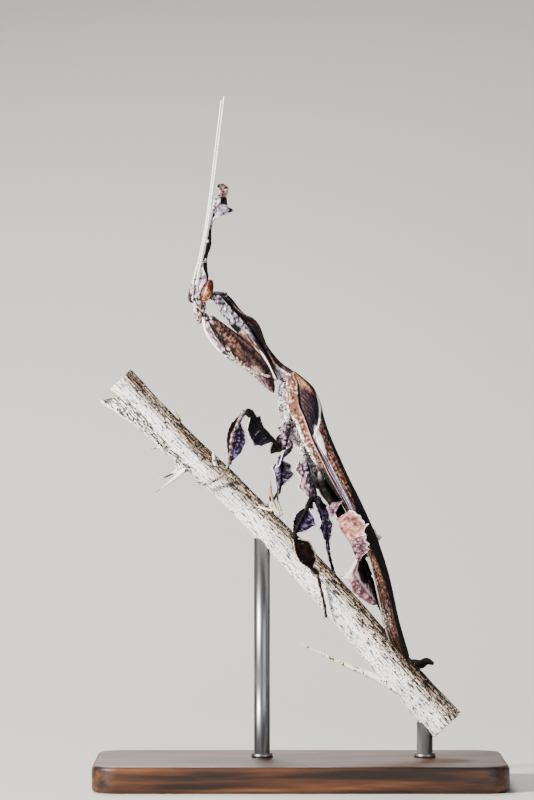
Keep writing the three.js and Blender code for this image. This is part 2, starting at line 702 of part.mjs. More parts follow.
// ---- Perch ----------------------------------------------------------------------------------------
const stemLine = [
  [-20.08, STEM_BACK, 45.36], [-13.91, STEM_BACK, 38.77], [-9, STEM_BACK, 34.15],
  [-4.3, STEM_BACK, 29.42], [0.43, STEM_BACK, 24.64], [4.91, STEM_BACK, 19.71], [9.3, STEM_BACK, 14.58],
  [13.76, STEM_BACK, 9.54], [16.41, STEM_BACK, 6.72],
];
const stemRadius = smooth([[0, 1.6], [0.25, 1.7], [0.45, 1.74], [0.6, 1.9], [0.75, 1.95], [1, 2.08]]);
const GROOVE = 0.93; // the stem's ribs alternate with grooves of this share of its radius

// A dry leaf base that runs down the stem as a wing, slanted at its upper end. Reaches count from the axis.
const flange = {
  start: 0.03,
  end: 0.237,
  slant: 0.029,
  root: 0.9,
  nearer: -1.0,
  sag: 0.4,
  edge: ragged([
    [0, 3.25], [0.13, 2.8], [0.25, 2.43], [0.43, 2.03], [0.6, 1.92], [0.66, 2.1], [0.72, 1.75],
    [0.86, 2.2], [0.93, 2.55], [1, 1.6],
  ]),
};

// Thorns: root, tip and radius at the root.
const thorns = [
  [[-12.77, 0.1, 35.5], [-16.18, 0.0, 32.76], 0.4],
  [[-13.33, 0.1, 35.62], [-16.02, 0.0, 34.1], 0.32],
  [[-14.9, 0.1, 37.69], [-16.86, 0.0, 37.52], 0.3],
  [[-19.71, 0.1, 42.67], [-22.46, 0.2, 42.95], 0.35],
  [[-13.33, 0.9, 40.66], [-14.36, 0.9, 42.56], 0.3],
  [[-4.7, -0.4, 31.14], [-1.01, -1.7, 30.41], 0.3],
  [[-9.41, 0.1, 35.28], [-9.74, -0.6, 37.35], 0.42],
  [[-2.58, 0.9, 29.79], [-3.3, 0.9, 34.22], 0.65],
  [[11.54, 0.2, 10.3], [-0.11, -1.2, 15.96], 0.6],
];

function stemPieces() {
  const path = route(stemLine);
  const steps = 14;
  const sides = 20;
  const rings = [];
  for (let i = 0; i <= steps; i++) {
    const t = i / steps;
    const forward = path.toward(t);
    const up = unit(cross(forward, DEPTH));
    const ring = [];
    for (let k = 0; k < sides; k++) {
      const a = (2 * Math.PI * k) / sides;
      const r = stemRadius(t) * (k % 2 ? GROOVE : 1);
      ring.push(sum(path.at(t), times(up, r * Math.cos(a)), times(DEPTH, r * Math.sin(a))));
    }
    rings.push(ring);
  }
  const leafBase = (u, v) => {
    const t = flange.start - flange.slant * v * (1 - u) ** 6 + (flange.end - flange.start) * u;
    const up = unit(cross(path.toward(t), DEPTH));
    const reach = flange.root + v * (flange.edge(u) - flange.root);
    return sum(path.at(t), times(up, -reach), times(DEPTH, flange.nearer + flange.sag * v));
  };
  // A dark dry leaflet stands off the stem beside the wing tips, folded along its spine.
  const spineLine = route([
    [11.98, 0.9, 13.55], [12.77, 0.7, 13.5], [13.55, 0.6, 13.44], [14.22, 0.6, 13.78], [15.01, 0.7, 13.5],
  ]);
  const leaflet = (u, v) => {
    const half = 0.15 + 0.95 * Math.sin(Math.PI * Math.min(0.8 * u + 0.2, 1)) ** 0.7;
    const across = 2 * v - 1;
    const out = unit(cross(spineLine.toward(u), DEPTH));
    const raised = times(DEPTH, 0.5 * half * Math.abs(across));
    return sum(spineLine.at(u), raised, times(out, 0.42 * half * across));
  };
  return [
    loft(rings),
    plate(leafBase, 12, 2),
    plate(leaflet, 7, 2),
    ...thorns.map(([from, to, radius]) => spine(from, to, radius)),
  ];
}
node("perch_stem", DRY_STEM, stemPieces());

// ---- Walking legs -----------------------------------------------------------------------------------
const legs = {
  mid_left: {
    coxa: [[-1.4, -1.5, 41.22], [-1.46, -1.75, 39.42], [-1.96, -1.7, 37.74]],
    femur: [[-2.13, -1.75, 37.41], [-4.03, -3.1, 39.65], [-6.05, -4.3, 41.89]],
    tibia: [[-6.16, -4.3, 41.83], [-7.5, -2.8, 39.2], [-7.9, -1.2, 36.01]],
    tarsus: [
      [-7.84, -1.1, 35.78], [-8.74, -1.4, 34.61], [-9.63, -1.3, 34.05], [-10.86, -0.8, 33.66],
      [-11.37, -0.6, 33.88],
    ],
    plane: DEPTH,
  },
  mid_right: {
    coxa: [[-1.23, 1.5, 40.99], [-1.06, 1.75, 39.31], [-1.18, 1.7, 37.74]],
    femur: [[-1.18, 1.9, 37.52], [-1.68, 4.8, 36.96], [-2.24, 8.1, 36.51]],
    tibia: [[-2.24, 8.1, 36.29], [-2.13, 5.8, 34.61], [-2.41, 3.4, 32.7]],
    tarsus: [[-2.46, 3.1, 32.37], [-3.14, 3.1, 31.7], [-3.92, 3.15, 30.8], [-4.59, 3.2, 29.9]],
    plane: ACROSS,
  },
  hind_left: {
    coxa: [[0.34, -1.5, 36.51], [0.95, -1.8, 34.5], [1.34, -1.9, 32.37]],
    femur: [[1.34, -2.0, 32.03], [0.22, -4.3, 30.02], [-0.73, -6.2, 28.22]],
    tibia: [[-0.67, -6.2, 28], [0.22, -4.1, 25.65], [1.79, -1.9, 23.97]],
    tarsus: [[1.96, -1.7, 23.63], [2.35, -1.7, 21.84], [2.74, -1.25, 20.16], [2.91, -0.7, 18.82]],
    plane: DEPTH,
  },
  hind_right: {
    coxa: [[0.45, 1.5, 36.29], [1.12, 1.8, 34.38], [1.57, 1.9, 32.48]],
    femur: [[1.68, 2.1, 32.26], [1.9, 5.0, 32.09], [2.18, 8.3, 31.92]],
    tibia: [[2.3, 8.3, 31.7], [2.91, 6.2, 28.9], [3.19, 4.1, 26.21]],
    tarsus: [[3.25, 3.9, 25.87], [3.58, 3.35, 24.53], [3.98, 3.45, 23.3], [4.37, 3.5, 22.06]],
    plane: ACROSS,
  },
};

// Each lobe: segment, stretch along it, direction, reach of its edge and curl.
const lobes = {
  mid_left: [
    ["coxa", [0.12, 0.95], [-1, 0, -0.2], [[0, 0.3], [0.25, 1.05], [0.45, 0.6], [0.7, 1.1], [1, 0.3]], 0.2],
    [
      "femur",
      [0.3, 0.85],
      [-0.75, 0, -1],
      [[0, 0.3], [0.12, 1.5], [0.3, 1.9], [0.55, 1.75], [0.8, 1.3], [1, 0.3]],
      0.4,
    ],
    ["femur", [0.58, 1], [-0.2, 0, 1], [[0, 0.3], [0.35, 0.8], [0.5, 0.5], [0.75, 0.85], [1, 0.3]], -0.2],
    ["femur", [0.02, 0.24], [-0.75, 0, -1], [[0, 0.3], [0.5, 1.25], [1, 0.3]], 0.2],
    ["tibia", [0.25, 0.9], [1, 0, 0.3], [[0, 0.3], [0.2, 1.2], [0.5, 1.65], [0.75, 1.3], [1, 0.3]], 0.3],
    ["tibia", [0.1, 0.8], [-1, 0, 0], [[0, 0.3], [0.3, 0.75], [0.6, 0.6], [1, 0.3]], -0.1],
  ],
  mid_right: [
    ["coxa", [0.15, 0.95], [-1, 0, -0.2], [[0, 0.3], [0.3, 0.9], [0.5, 0.5], [0.75, 0.9], [1, 0.3]], -0.2],
    ["femur", [0.3, 0.85], [-0.4, 0, -1], [[0, 0.3], [0.2, 1.4], [0.5, 1.7], [0.8, 1.2], [1, 0.3]], 0.3],
    ["tibia", [0.08, 0.85], [-1, 0, 0], [[0, 0.3], [0.2, 0.95], [0.5, 0.7], [1, 0.3]], 0.2],
    [
      "tibia",
      [0.08, 0.75],
      [1, 0, 0.2],
      [[0, 0.3], [0.2, 1.2], [0.4, 1.0], [0.6, 1.5], [0.8, 0.7], [1, 0.3]],
      -0.2,
    ],
  ],
  hind_left: [
    ["coxa", [0.08, 0.95], [-1, 0, 0.2], [[0, 0.3], [0.25, 1.2], [0.45, 0.75], [0.7, 1.3], [1, 0.3]], 0.2],
    [
      "femur", [0.35, 0.95], [0.9, 0, -0.4], [[0, 0.3], [0.2, 1.3], [0.45, 1.75], [0.7, 1.2], [1, 0.3]],
      0.3,
    ],
    ["femur", [0.1, 0.35], [0.9, 0, -0.2], [[0, 0.3], [0.6, 0.7], [1, 0.3]], 0.1],
    ["femur", [0.3, 0.95], [-1, 0, 0.3], [[0, 0.3], [0.4, 0.8], [0.7, 0.7], [1, 0.3]], -0.2],
    ["tibia", [0.15, 0.75], [0.8, 0, 0.7], [[0, 0.3], [0.2, 1.3], [0.6, 1.5], [0.85, 1.1], [1, 0.3]], 0.5],
  ],
  hind_right: [
    ["coxa", [0.1, 0.95], [-1, 0, 0.2], [[0, 0.3], [0.3, 1.1], [0.5, 0.7], [0.75, 1.1], [1, 0.3]], -0.2],
    ["femur", [0.35, 0.85], [0.2, 0, -1], [[0, 0.3], [0.25, 1.4], [0.55, 1.6], [0.8, 1.0], [1, 0.3]], 0.3],
    ["tibia", [0.08, 0.8], [1, 0, 0.1], [[0, 0.3], [0.2, 0.7], [0.45, 0.6], [0.6, 0.9], [1, 0.3]], 0.2],
    ["tibia", [0.12, 0.8], [-1, 0, 0], [[0, 0.3], [0.2, 0.5], [0.5, 0.4], [0.65, 0.7], [1, 0.3]], -0.2],
  ],
};

const SEGMENT = {
  coxa: { wide: smooth([[0, 0.45], [0.5, 0.4], [1, 0.38]]), deep: () => 0.38, steps: 5 },
  femur: {
    wide: smooth([[0, 0.38], [0.3, 0.34], [0.8, 0.28], [1, 0.32]]),
    deep: smooth([[0, 0.36], [1, 0.3]]),
    steps: 6,
  },
  tibia: { wide: smooth([[0, 0.3], [0.5, 0.27], [1, 0.26]]), deep: () => 0.27, steps: 6 },
  tarsus: { wide: (t) => 0.26 - 0.02 * t, deep: () => 0.25, steps: 8 },
};
for (const [leg, parts] of Object.entries(legs)) {
  const [place, side] = leg.split("_");
  for (const [segment, { wide, deep, steps }] of Object.entries(SEGMENT)) {
    const plane = segment === "femur" || segment === "tibia" ? parts.plane : DEPTH;
    const line = parts[segment];
    const pieces = [rod(line, wide, deep, { sides: 8, steps, side: plane })];
    for (const [on, stretch, away, reach, curl] of lobes[leg]) {
      if (on === segment) pieces.push(lobe(line, stretch, away, reach, { curl }));
    }
    node([place, segment, side].join("_"), segment === "coxa" ? PALE : LOBES, pieces);
  }
}

// ---- Stand --------------------------------------------------------------------------------------------
function slab({ length, depth, height, corner }) {
  const shape = new THREE.Shape();
  const x = length / 2 - corner;
  const y = depth / 2 - corner;
  shape.absarc(x, y, corner, 0, Math.PI / 2);
  shape.absarc(-x, y, corner, Math.PI / 2, Math.PI);
  shape.absarc(-x, -y, corner, Math.PI, 1.5 * Math.PI);
  shape.absarc(x, -y, corner, 1.5 * Math.PI, 2 * Math.PI);
  return new THREE.ExtrudeGeometry(shape, { depth: height, bevelEnabled: false, curveSegments: 6 });
}
function fromGeometry(geometry) {
  const bare = geometry.clone();
  bare.deleteAttribute("normal");
  bare.deleteAttribute("uv");
  const merged = mergeVertices(bare, 1e-4);
  return new wasm.Manifold(
    new wasm.Mesh({
      numProp: 3,
      vertProperties: merged.attributes.position.array,
      triVerts: new Uint32Array(merged.index.array),
    }),
  );
}
node("stand_base", WOOD, [fromGeometry(slab(BASE))]);
// The rods' tops lie inside the stem's lower side, which trims them to its shape.
const rodTops = { stand_rod_upper: [-4.26, STEM_BACK, 28.11], stand_rod_lower: [14, STEM_BACK, 7.62] };
for (const [name, top] of Object.entries(rodTops)) {
  const foot = [top[0], STEM_BACK, BASE.height + GAP];
  node(name, STEEL, [rod(straight(foot, top), () => ROD_RADIUS, () => ROD_RADIUS, { sides: 12, steps: 1 })]);
}

const mantis = new THREE.Group();
for (const [name, { shape, material: look }] of nodes) {
  const mesh = shape.getMesh();
  const geometry = new THREE.BufferGeometry();
  const xyz = new Float32Array(mesh.numVert * 3);
  for (let i = 0; i < mesh.numVert; i++) {
    xyz.set(mesh.vertProperties.subarray(i * mesh.numProp, i * mesh.numProp + 3), i * 3);
  }
  geometry.setAttribute("position", new THREE.BufferAttribute(xyz, 3));
  geometry.setIndex(new THREE.BufferAttribute(mesh.triVerts, 1));
  geometry.computeVertexNormals();
  const made = new THREE.Mesh(geometry, look);
  made.name = name;
  mantis.add(made);
}
export default mantis;
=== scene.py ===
import math

import bpy
import numpy as np
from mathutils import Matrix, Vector


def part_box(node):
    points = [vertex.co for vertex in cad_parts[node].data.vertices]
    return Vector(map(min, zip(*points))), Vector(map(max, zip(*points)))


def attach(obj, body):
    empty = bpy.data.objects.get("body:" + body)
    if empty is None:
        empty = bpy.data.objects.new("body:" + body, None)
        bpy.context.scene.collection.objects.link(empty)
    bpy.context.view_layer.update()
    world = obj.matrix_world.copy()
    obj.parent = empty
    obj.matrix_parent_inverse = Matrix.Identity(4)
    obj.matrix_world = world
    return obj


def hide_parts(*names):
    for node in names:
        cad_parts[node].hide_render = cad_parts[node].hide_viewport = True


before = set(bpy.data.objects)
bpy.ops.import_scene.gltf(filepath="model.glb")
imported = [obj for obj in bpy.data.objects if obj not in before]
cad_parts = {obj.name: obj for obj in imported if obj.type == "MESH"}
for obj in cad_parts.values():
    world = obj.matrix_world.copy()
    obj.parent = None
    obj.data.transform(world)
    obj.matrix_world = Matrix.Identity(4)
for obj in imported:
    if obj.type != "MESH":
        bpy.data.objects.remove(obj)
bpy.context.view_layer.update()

# A ghost mantis that climbs a dry thistle stem, on a small display stand.
# Shapes are worked out in millimetres as whole arrays and scaled to metres in the mesh.
# +X runs from the head's side to the tail's side, +Y to the insect's right, +Z up.
print("stage: frame loaded")


# vectors and curves

def unit(vectors):  # each vector over its length
    return vectors / np.maximum(np.linalg.norm(vectors, axis=-1, keepdims=True), 1e-9)


depth = np.array([0, 1.0, 0])  # along Y
millimetre = 0.001  # in metres


def hermite(p, first, second, firstSlope, secondSlope, stride):
    # (2p^3 - 3p^2 + 1) first + (p^3 - 2p^2 + p) stride firstSlope + (3p^2 - 2p^3) second + (p^3 - p^2)
    # stride secondSlope
    start = (2 * p**3 - 3 * p**2 + 1) * first + (p**3 - 2 * p**2 + p) * stride * firstSlope
    return start + (3 * p**2 - 2 * p**3) * second + (p**3 - p**2) * stride * secondSlope


# cubic Hermite curve through (place, value) pairs, its slope at a pair the mean of both sides
def smooth(pairs):
    place, value = np.array(pairs, float).T
    slope = np.diff(value) / np.diff(place)
    tangent = np.concatenate([slope[:1], (slope[1:] + slope[:-1]) / 2, slope[-1:]])

    def curve(t):
        t = np.clip(t, place[0], place[-1])
        i = np.clip(np.searchsorted(place, t, side="right") - 1, 0, len(place) - 2)
        stride = place[i + 1] - place[i]
        p = (t - place[i]) / stride
        return hermite(p, value[i], value[i + 1], tangent[i], tangent[i + 1], stride)

    return curve


def ragged(pairs):  # straight lines through (place, value) pairs
    place, value = np.array(pairs, float).T
    return lambda t: np.interp(t, place, value)


def chain(points):  # straight lines through points, read by their length from 0 to 1
    p = np.array(points, float)
    run = np.concatenate([[0], np.cumsum(np.linalg.norm(np.diff(p, axis=0), axis=1))])
    return lambda u: np.stack([np.interp(u, run / run[-1], p[:, k]) for k in range(3)], -1)


class Route:  # a Catmull-Rom curve with square-root knots through points, read by its length from 0 to 1
    def __init__(self, points):
        p = np.array(points, float)
        p = np.vstack([2 * p[0] - p[1], p, 2 * p[-1] - p[-2]])
        gap = np.sqrt(np.linalg.norm(np.diff(p, axis=0), axis=1))[:, None]
        tangent = (p[1:-1] - p[:-2]) / gap[:-1] - (p[2:] - p[:-2]) / (gap[:-1] + gap[1:])
        tangent = tangent + (p[2:] - p[1:-1]) / gap[1:]
        s = np.linspace(0, 1, 60, endpoint=False)[None, :, None]
        slopes = tangent[:-1, None], tangent[1:, None]
        line = hermite(s, p[1:-2, None], p[2:-1, None], *slopes, gap[1:-1, None])
        self.line = np.vstack([line.reshape(-1, 3), p[-2]])
        run = np.concatenate([[0], np.cumsum(np.linalg.norm(np.diff(self.line, axis=0), axis=1))])
        self.length = run[-1]
        self.run = run / run[-1]
        self.slope = unit(np.gradient(self.line, self.run, axis=0))

    def at(self, t):
        return np.stack([np.interp(t, self.run, self.line[:, k]) for k in range(3)], -1)

    def toward(self, t):
        return unit(np.stack([np.interp(t, self.run, self.slope[:, k]) for k in range(3)], -1))


# smooth value noise from 0 to 1: hashed cell corners, blended by 3f^2 - 2f^3
def lumps(points, size, seed=0):
    p = np.asarray(points, float) / size + seed * 17.31
    cell = np.floor(p).astype(np.int64)
    f = p - cell
    f = f * f * (3 - 2 * f)
    total = np.zeros(p.shape[:-1])
    for corner in np.ndindex(2, 2, 2):
        c = cell + np.array(corner)
        h = (c[..., 0] * 73856093) ^ (c[..., 1] * 19349663) ^ (c[..., 2] * 83492791)
        h = (h * (h * h * 15731 + 789221) + 1376312589) & 0x7FFFFFFF
        weight = np.prod(np.where(np.array(corner) == 1, f, 1 - f), axis=-1)
        total += weight * h / 0x7FFFFFFF
    return total


def ripple(t, size, seed=0):  # the same noise along one number
    t = np.asarray(t, float)
    return lumps(np.stack([t, t * 0 + 0.37, t * 0 + 0.71], -1), size, seed)


def band(x, middle, half):  # 1 at the middle, falling off as a bell
    return np.exp(-(((x - middle) / half) ** 2))


def step(x, low, high):  # 0 below low, 1 above high, 3p^2 - 2p^3 between
    p = np.clip((x - low) / (high - low), 0, 1)
    return p * p * (3 - 2 * p)


studioDepth = 2.35  # how far colours are deepened, so that under the bright key light they look as named
hueDepth = 1.5  # how far of that goes to each channel by itself


def colour(code):  # sRGB hex to linear light c, deepened: c ** hueDepth * grey ** (studioDepth - hueDepth)
    c = np.array([int(code[i:i + 2], 16) for i in (0, 2, 4)]) / 255
    c = np.where(c <= 0.04045, c / 12.92, ((c + 0.055) / 1.055) ** 2.4)
    grey = np.sum(c * [0.2126, 0.7152, 0.0722])
    return c**hueDepth * grey ** (studioDepth - hueDepth)


def dotted(points, size, seed, low, high):  # 1 where the noise is above high, 0 where it is below low
    return step(lumps(points, size, seed), low, high)


# first where the mask is 0, second where it is 1; each a colour or its code
def blend(first, second, mask):
    first, second = (colour(tone) if isinstance(tone, str) else tone for tone in (first, second))
    return first + (second - first) * np.clip(mask, 0, 1)[..., None]


def unitGrid(rows, columns):  # u down the rows and v across the columns, both from 0 to 1
    u = np.linspace(0, 1, rows)[:, None] + np.zeros((1, columns))
    return u, np.linspace(0, 1, columns)[None, :] + np.zeros((rows, 1))


# meshes

# the parts of one piece: points in millimetres, a tint with its speck value, and the flow patterns follow
class Form:
    def __init__(self):
        self.points = []
        self.faces = []
        self.tints = []
        self.flows = []
        self.count = 0

    def add(self, points, faces, tint, flow):  # a closed part, turned so that its volume is positive
        points = points.reshape(-1, 3)
        a, b, c = (points[faces[:, k]] for k in range(3))
        d = points[faces[:, 3]]
        middle = points.mean(0)
        volume = np.sum(np.cross(a - middle, b - middle) * (c - middle))
        volume += np.sum(np.cross(a - middle, c - middle) * (d - middle))
        if volume < 0:
            faces = faces[:, ::-1]
        self.points.append(points)
        self.faces.append(faces + self.count)
        self.tints.append(np.broadcast_to(tint, points.shape[:1] + (4,)) if np.ndim(tint) == 1 else tint)
        self.flows.append(flow)
        self.count += len(points)

    def tube(self, grid, tint, flow=None):  # rows are rings; both ends close on their middle
        rows, columns = grid.shape[:2]
        index = np.arange(rows * columns).reshape(rows, columns)
        around = np.hstack([index, index[:, :1]])
        quads = np.stack([around[:-1, :-1], around[:-1, 1:], around[1:, 1:], around[1:, :-1]],
                         -1).reshape(-1, 4)
        first, last = rows * columns, rows * columns + 1
        low = np.stack([around[0, 1:], around[0, :-1], index[0] * 0 + first, index[0] * 0 + first], -1)
        high = np.stack([around[-1, :-1], around[-1, 1:], index[0] * 0 + last, index[0] * 0 + last], -1)
        ends = np.stack([grid[0].mean(0), grid[-1].mean(0)])
        flow = grid if flow is None else flow
        points = np.vstack([grid.reshape(-1, 3), ends])
        tint = np.vstack([tint.reshape(-1, 4), tint[0].mean(0), tint[-1].mean(0)])
        flow = np.vstack([flow.reshape(-1, 3), flow[0].mean(0), flow[-1].mean(0)])
        self.add(points, np.vstack([quads, low, high]), tint, flow)

    def sheet(self, middle, thick, tint, flow=None, under=None):  # a thin plate round a middle surface
        out = unit(np.cross(np.gradient(middle, axis=0), np.gradient(middle, axis=1)))
        half = np.broadcast_to(np.asarray(thick, float) / 2, middle.shape[:2])[..., None]
        ring = np.concatenate([middle + out * half, (middle - out * half)[:, ::-1]], 1)
        under = tint if under is None else under
        flow = middle if flow is None else flow
        self.closedSheet(ring, np.concatenate([tint, under[:, ::-1]], 1),
                         np.concatenate([flow, flow[:, ::-1]], 1))

    def closedSheet(self, ring, tint, flow):  # rows of top points, then the under points backwards
        rows, double = ring.shape[:2]
        columns = double // 2
        index = np.arange(rows * double).reshape(rows, double)
        around = np.hstack([index, index[:, :1]])
        quads = [np.stack([around[:-1, :-1], around[:-1, 1:], around[1:, 1:], around[1:, :-1]],
                          -1).reshape(-1, 4)]
        for row, turned in ((index[0], True), (index[-1], False)):
            top, low = row[:columns], row[columns:][::-1]
            cap = np.stack([top[:-1], top[1:], low[1:], low[:-1]], -1)
            quads.append(cap[:, ::-1] if turned else cap)
        self.add(ring, np.vstack(quads), tint.reshape(-1, 4), flow.reshape(-1, 3))

    def finish(self, name, look, slot, *nodes):  # the mesh object, in metres, riding on the root
        points = np.vstack(self.points) * millimetre
        faces = np.vstack(self.faces).astype(np.int32)
        triangle = faces[:, 2] == faces[:, 3]
        turned = faces[:, 0] == faces[:, 1]  # a triangle whose order was reversed
        keep = np.ones(faces.shape, bool)
        keep[triangle, 3] = False
        keep[turned, 0] = False
        sizes = keep.sum(1)
        starts = np.concatenate([[0], np.cumsum(sizes)[:-1]]).astype(np.int32)
        mesh = bpy.data.meshes.new(name)
        mesh.vertices.add(len(points))
        mesh.vertices.foreach_set("co", points.astype(np.float32).ravel())
        mesh.loops.add(int(sizes.sum()))
        mesh.loops.foreach_set("vertex_index", faces[keep])
        mesh.polygons.add(len(faces))
        mesh.polygons.foreach_set("loop_start", starts)
        mesh.update(calc_edges=True)
        mesh.polygons.foreach_set("use_smooth", np.ones(len(faces), bool))
        tint = mesh.attributes.new("tint", "FLOAT_COLOR", "POINT")
        tint.data.foreach_set("color", np.vstack(self.tints).astype(np.float32).ravel())
        flow = mesh.attributes.new("flow", "FLOAT_VECTOR", "POINT")
        flow.data.foreach_set("vector", np.vstack(self.flows).astype(np.float32).ravel())
        mesh.validate()
        piece = bpy.data.objects.new(name, mesh)
        bpy.context.scene.collection.objects.link(piece)
        mesh.materials.append(look.material)
        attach(piece, "root")
        if nodes:
            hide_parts(*nodes)
        print("stage:", name, len(points), "points,", int((sizes - 2).sum()), "triangles")


def inked(rgb, specks):  # a tint: linear colour and, as alpha, how thick the dark specks lie
    rgb = np.asarray(rgb, float)
    specks = np.broadcast_to(np.asarray(specks, float), rgb.shape[:-1])
    return np.concatenate([rgb, specks[..., None]], -1)


def turns(count):  # angles round a ring
    return np.arange(count) * 2 * np.pi / count


# the route's direction, `side` made square to it, and the axis square to both
def crossAxes(route, t, side):
    forward = route.toward(t)
    along = unit(side - forward * np.sum(forward * side, -1, keepdims=True))
    return forward, along, np.cross(along, forward)


def rounded(t, low, high):  # a radius factor that closes both ends as a half circle of those lengths
    start = np.clip(t / low, 0, 1)
    end = np.clip((1 - t) / high, 0, 1)
    opening = np.sqrt(np.maximum(1 - (1 - start) ** 2, 0.0016))
    return opening * np.sqrt(np.maximum(1 - (1 - end) ** 2, 0.0016))


def limb(points, wide, deep, rows=48, columns=20, side=(0, 1, 0), low=0.04, high=0.04, relief=None):
    # ring at t: centre + square * wide(t) cos a + along * deep(t) sin a, closed round at both ends
    route = Route(points)
    t = np.linspace(0, 1, rows)
    t = t + 0.04 * np.sin(2 * np.pi * t) * -0.5  # closer rings at the ends
    along, square = crossAxes(route, t, np.array(side, float))[1:]
    a = turns(columns)
    close = rounded(t, low, high)[:, None]
    extra = 0 if relief is None else relief(t[:, None], a[None, :])
    w = (wide(t)[:, None] + extra) * close
    d = (deep(t)[:, None] + extra) * close
    grid = route.at(t)[:, None] + square[:, None] * (w * np.cos(a))[..., None]
    grid = grid + along[:, None] * (d * np.sin(a))[..., None]
    return grid, t[:, None] + a * 0, t[:, None] * 0 + a


# shader expressions

class Value:  # one output of a shader node, with arithmetic that adds Math nodes
    def __init__(self, look, out):
        self.look = look
        self.out = out

    def math(self, operation, first, second=None):
        inputs = {0: first} if second is None else {0: first, 1: second}
        return self.look.node("ShaderNodeMath", {"operation": operation}, inputs)

    def __add__(self, other):
        return self.math("ADD", self, other)

    def __radd__(self, other):
        return self.math("ADD", other, self)

    def __sub__(self, other):
        return self.math("SUBTRACT", self, other)

    def __rsub__(self, other):
        return self.math("SUBTRACT", other, self)

    def __mul__(self, other):
        return self.math("MULTIPLY", self, other)

    def __rmul__(self, other):
        return self.math("MULTIPLY", other, self)

    def over(self, low, high):  # 0 below low, 1 above high
        inputs = {"Value": self, "From Min": low, "From Max": high}
        return self.look.node("ShaderNodeMapRange", {"interpolation_type": "SMOOTHSTEP"}, inputs)


class Look:  # one material, with a Principled shader and helpers that add nodes to it
    def __init__(self, name, **fixed):
        self.material = bpy.data.materials.new(name)
        self.material.use_nodes = True
        self.tree = self.material.node_tree
        self.tree.nodes.clear()
        self.shader = self.tree.nodes.new("ShaderNodeBsdfPrincipled")
        output = self.tree.nodes.new("ShaderNodeOutputMaterial")
        self.tree.links.new(self.shader.outputs[0], output.inputs[0])
        for key, value in fixed.items():
            self.shader.inputs[key.replace("_", " ")].default_value = value

    def node(self, kind, settings, inputs, output=0):
        made = self.tree.nodes.new(kind)
        for key, value in settings.items():
            setattr(made, key, value)
        for key, value in inputs.items():
            if isinstance(value, Value):
                self.tree.links.new(value.out, made.inputs[key])
            else:
                made.inputs[key].default_value = value
        return Value(self, made.outputs[output])

    def place(self):
        return self.node("ShaderNodeTexCoord", {}, {}, "Object")

    def mark(self, name, output="Color"):
        return self.node("ShaderNodeAttribute", {"attribute_name": name}, {}, output)

    def noise(self, vector, scale, detail=2.0, output=0):
        inputs = {"Vector": vector, "Scale": scale, "Detail": detail}
        return self.node("ShaderNodeTexNoise", {}, inputs, output)

    def stretched(self, vector, x, y, z):
        return self.node("ShaderNodeVectorMath", {"operation": "MULTIPLY"}, {0: vector, 1: (x, y, z)})

    def mix(self, first, second, factor, how="MIX"):
        settings = {"data_type": "RGBA", "blend_type": how, "clamp_factor": True}
        return self.node("ShaderNodeMix", settings, {0: factor, 6: first, 7: second}, 2)

    def rgb(self, code):
        return (*colour(code), 1.0)

    def feed(self, **sockets):
        for key, value in sockets.items():
            self.tree.links.new(value.out, self.shader.inputs[key.replace("_", " ")])

    def bump(self, height, strength, distance):
        inputs = {"Height": height, "Strength": strength, "Distance": distance}
        self.feed(Normal=self.node("ShaderNodeBump", {}, inputs))


def brightened(look, tint, low, high, value):  # the tint times a grey between low and high
    grey = look.node("ShaderNodeMapRange", {}, {"Value": value, "To Min": low, "To Max": high})
    return look.mix(tint, look.node("ShaderNodeCombineColor", {}, {0: grey, 1: grey, 2: grey}), 1.0,
                    "MULTIPLY")


# camera, floor and light

view = {
    "sensor": 36,
    "lens": 200.9,  # millimetres, for a 36 mm long side
    "distance": 500,  # from the insect's middle plane
    "centre": (-3.7, 0, 43.1),  # what the middle of the frame looks at
}
lights = {
    "key": {"place": (-280, -220, 200), "size": 50, "power": 7.4, "warmth": "FFFAF4"},
    "fill": {"place": (200, -300, 120), "size": 260, "power": 0.8, "warmth": "F6F8FF"},
    "rim": {"place": (-60, 240, 280), "size": 120, "power": 1.9, "warmth": "FFFFFF"},
    "air": 0.17,  # strength of the light that comes from all round
}
# metres
floor = {"front": -1.2, "side": 1.4, "top": 1.6, "paper": "D8D8D4", "bendStart": 0.12, "radius": 0.35}


def makeCamera(view):  # looks along +Y, level, so that the frame is a plane of constant depth
    data = bpy.data.cameras.new("camera")
    data.lens = view["lens"]
    data.sensor_width = view["sensor"]
    data.clip_start = 0.01
    data.clip_end = 20
    camera = bpy.data.objects.new("camera", data)
    x, y, z = view["centre"]
    camera.location = (x * millimetre, (y - view["distance"]) * millimetre, z * millimetre)
    camera.rotation_euler = (math.radians(90), 0, 0)
    bpy.context.scene.collection.objects.link(camera)
    bpy.context.scene.camera = camera


def makeLights(lights):
    world = bpy.data.worlds.new("studio")
    bpy.context.scene.world = world
    world.use_nodes = True
    back = world.node_tree.nodes["Background"]
    back.inputs["Color"].default_value = (0.93, 0.95, 1.0, 1)
    back.inputs["Strength"].default_value = lights["air"]
    for name in ("key", "fill", "rim"):
        spot = lights[name]
        data = bpy.data.lights.new(name, "AREA")
        data.size = spot["size"] * millimetre
        data.energy = spot["power"]
        data.color = colour(spot["warmth"])
        lamp = bpy.data.objects.new(name, data)
        place = np.array(spot["place"], float)
        lamp.location = place * millimetre
        aim = Vector((np.array(view["centre"]) - place).tolist())
        lamp.rotation_euler = aim.to_track_quat("-Z", "Y").to_euler()
        bpy.context.scene.collection.objects.link(lamp)


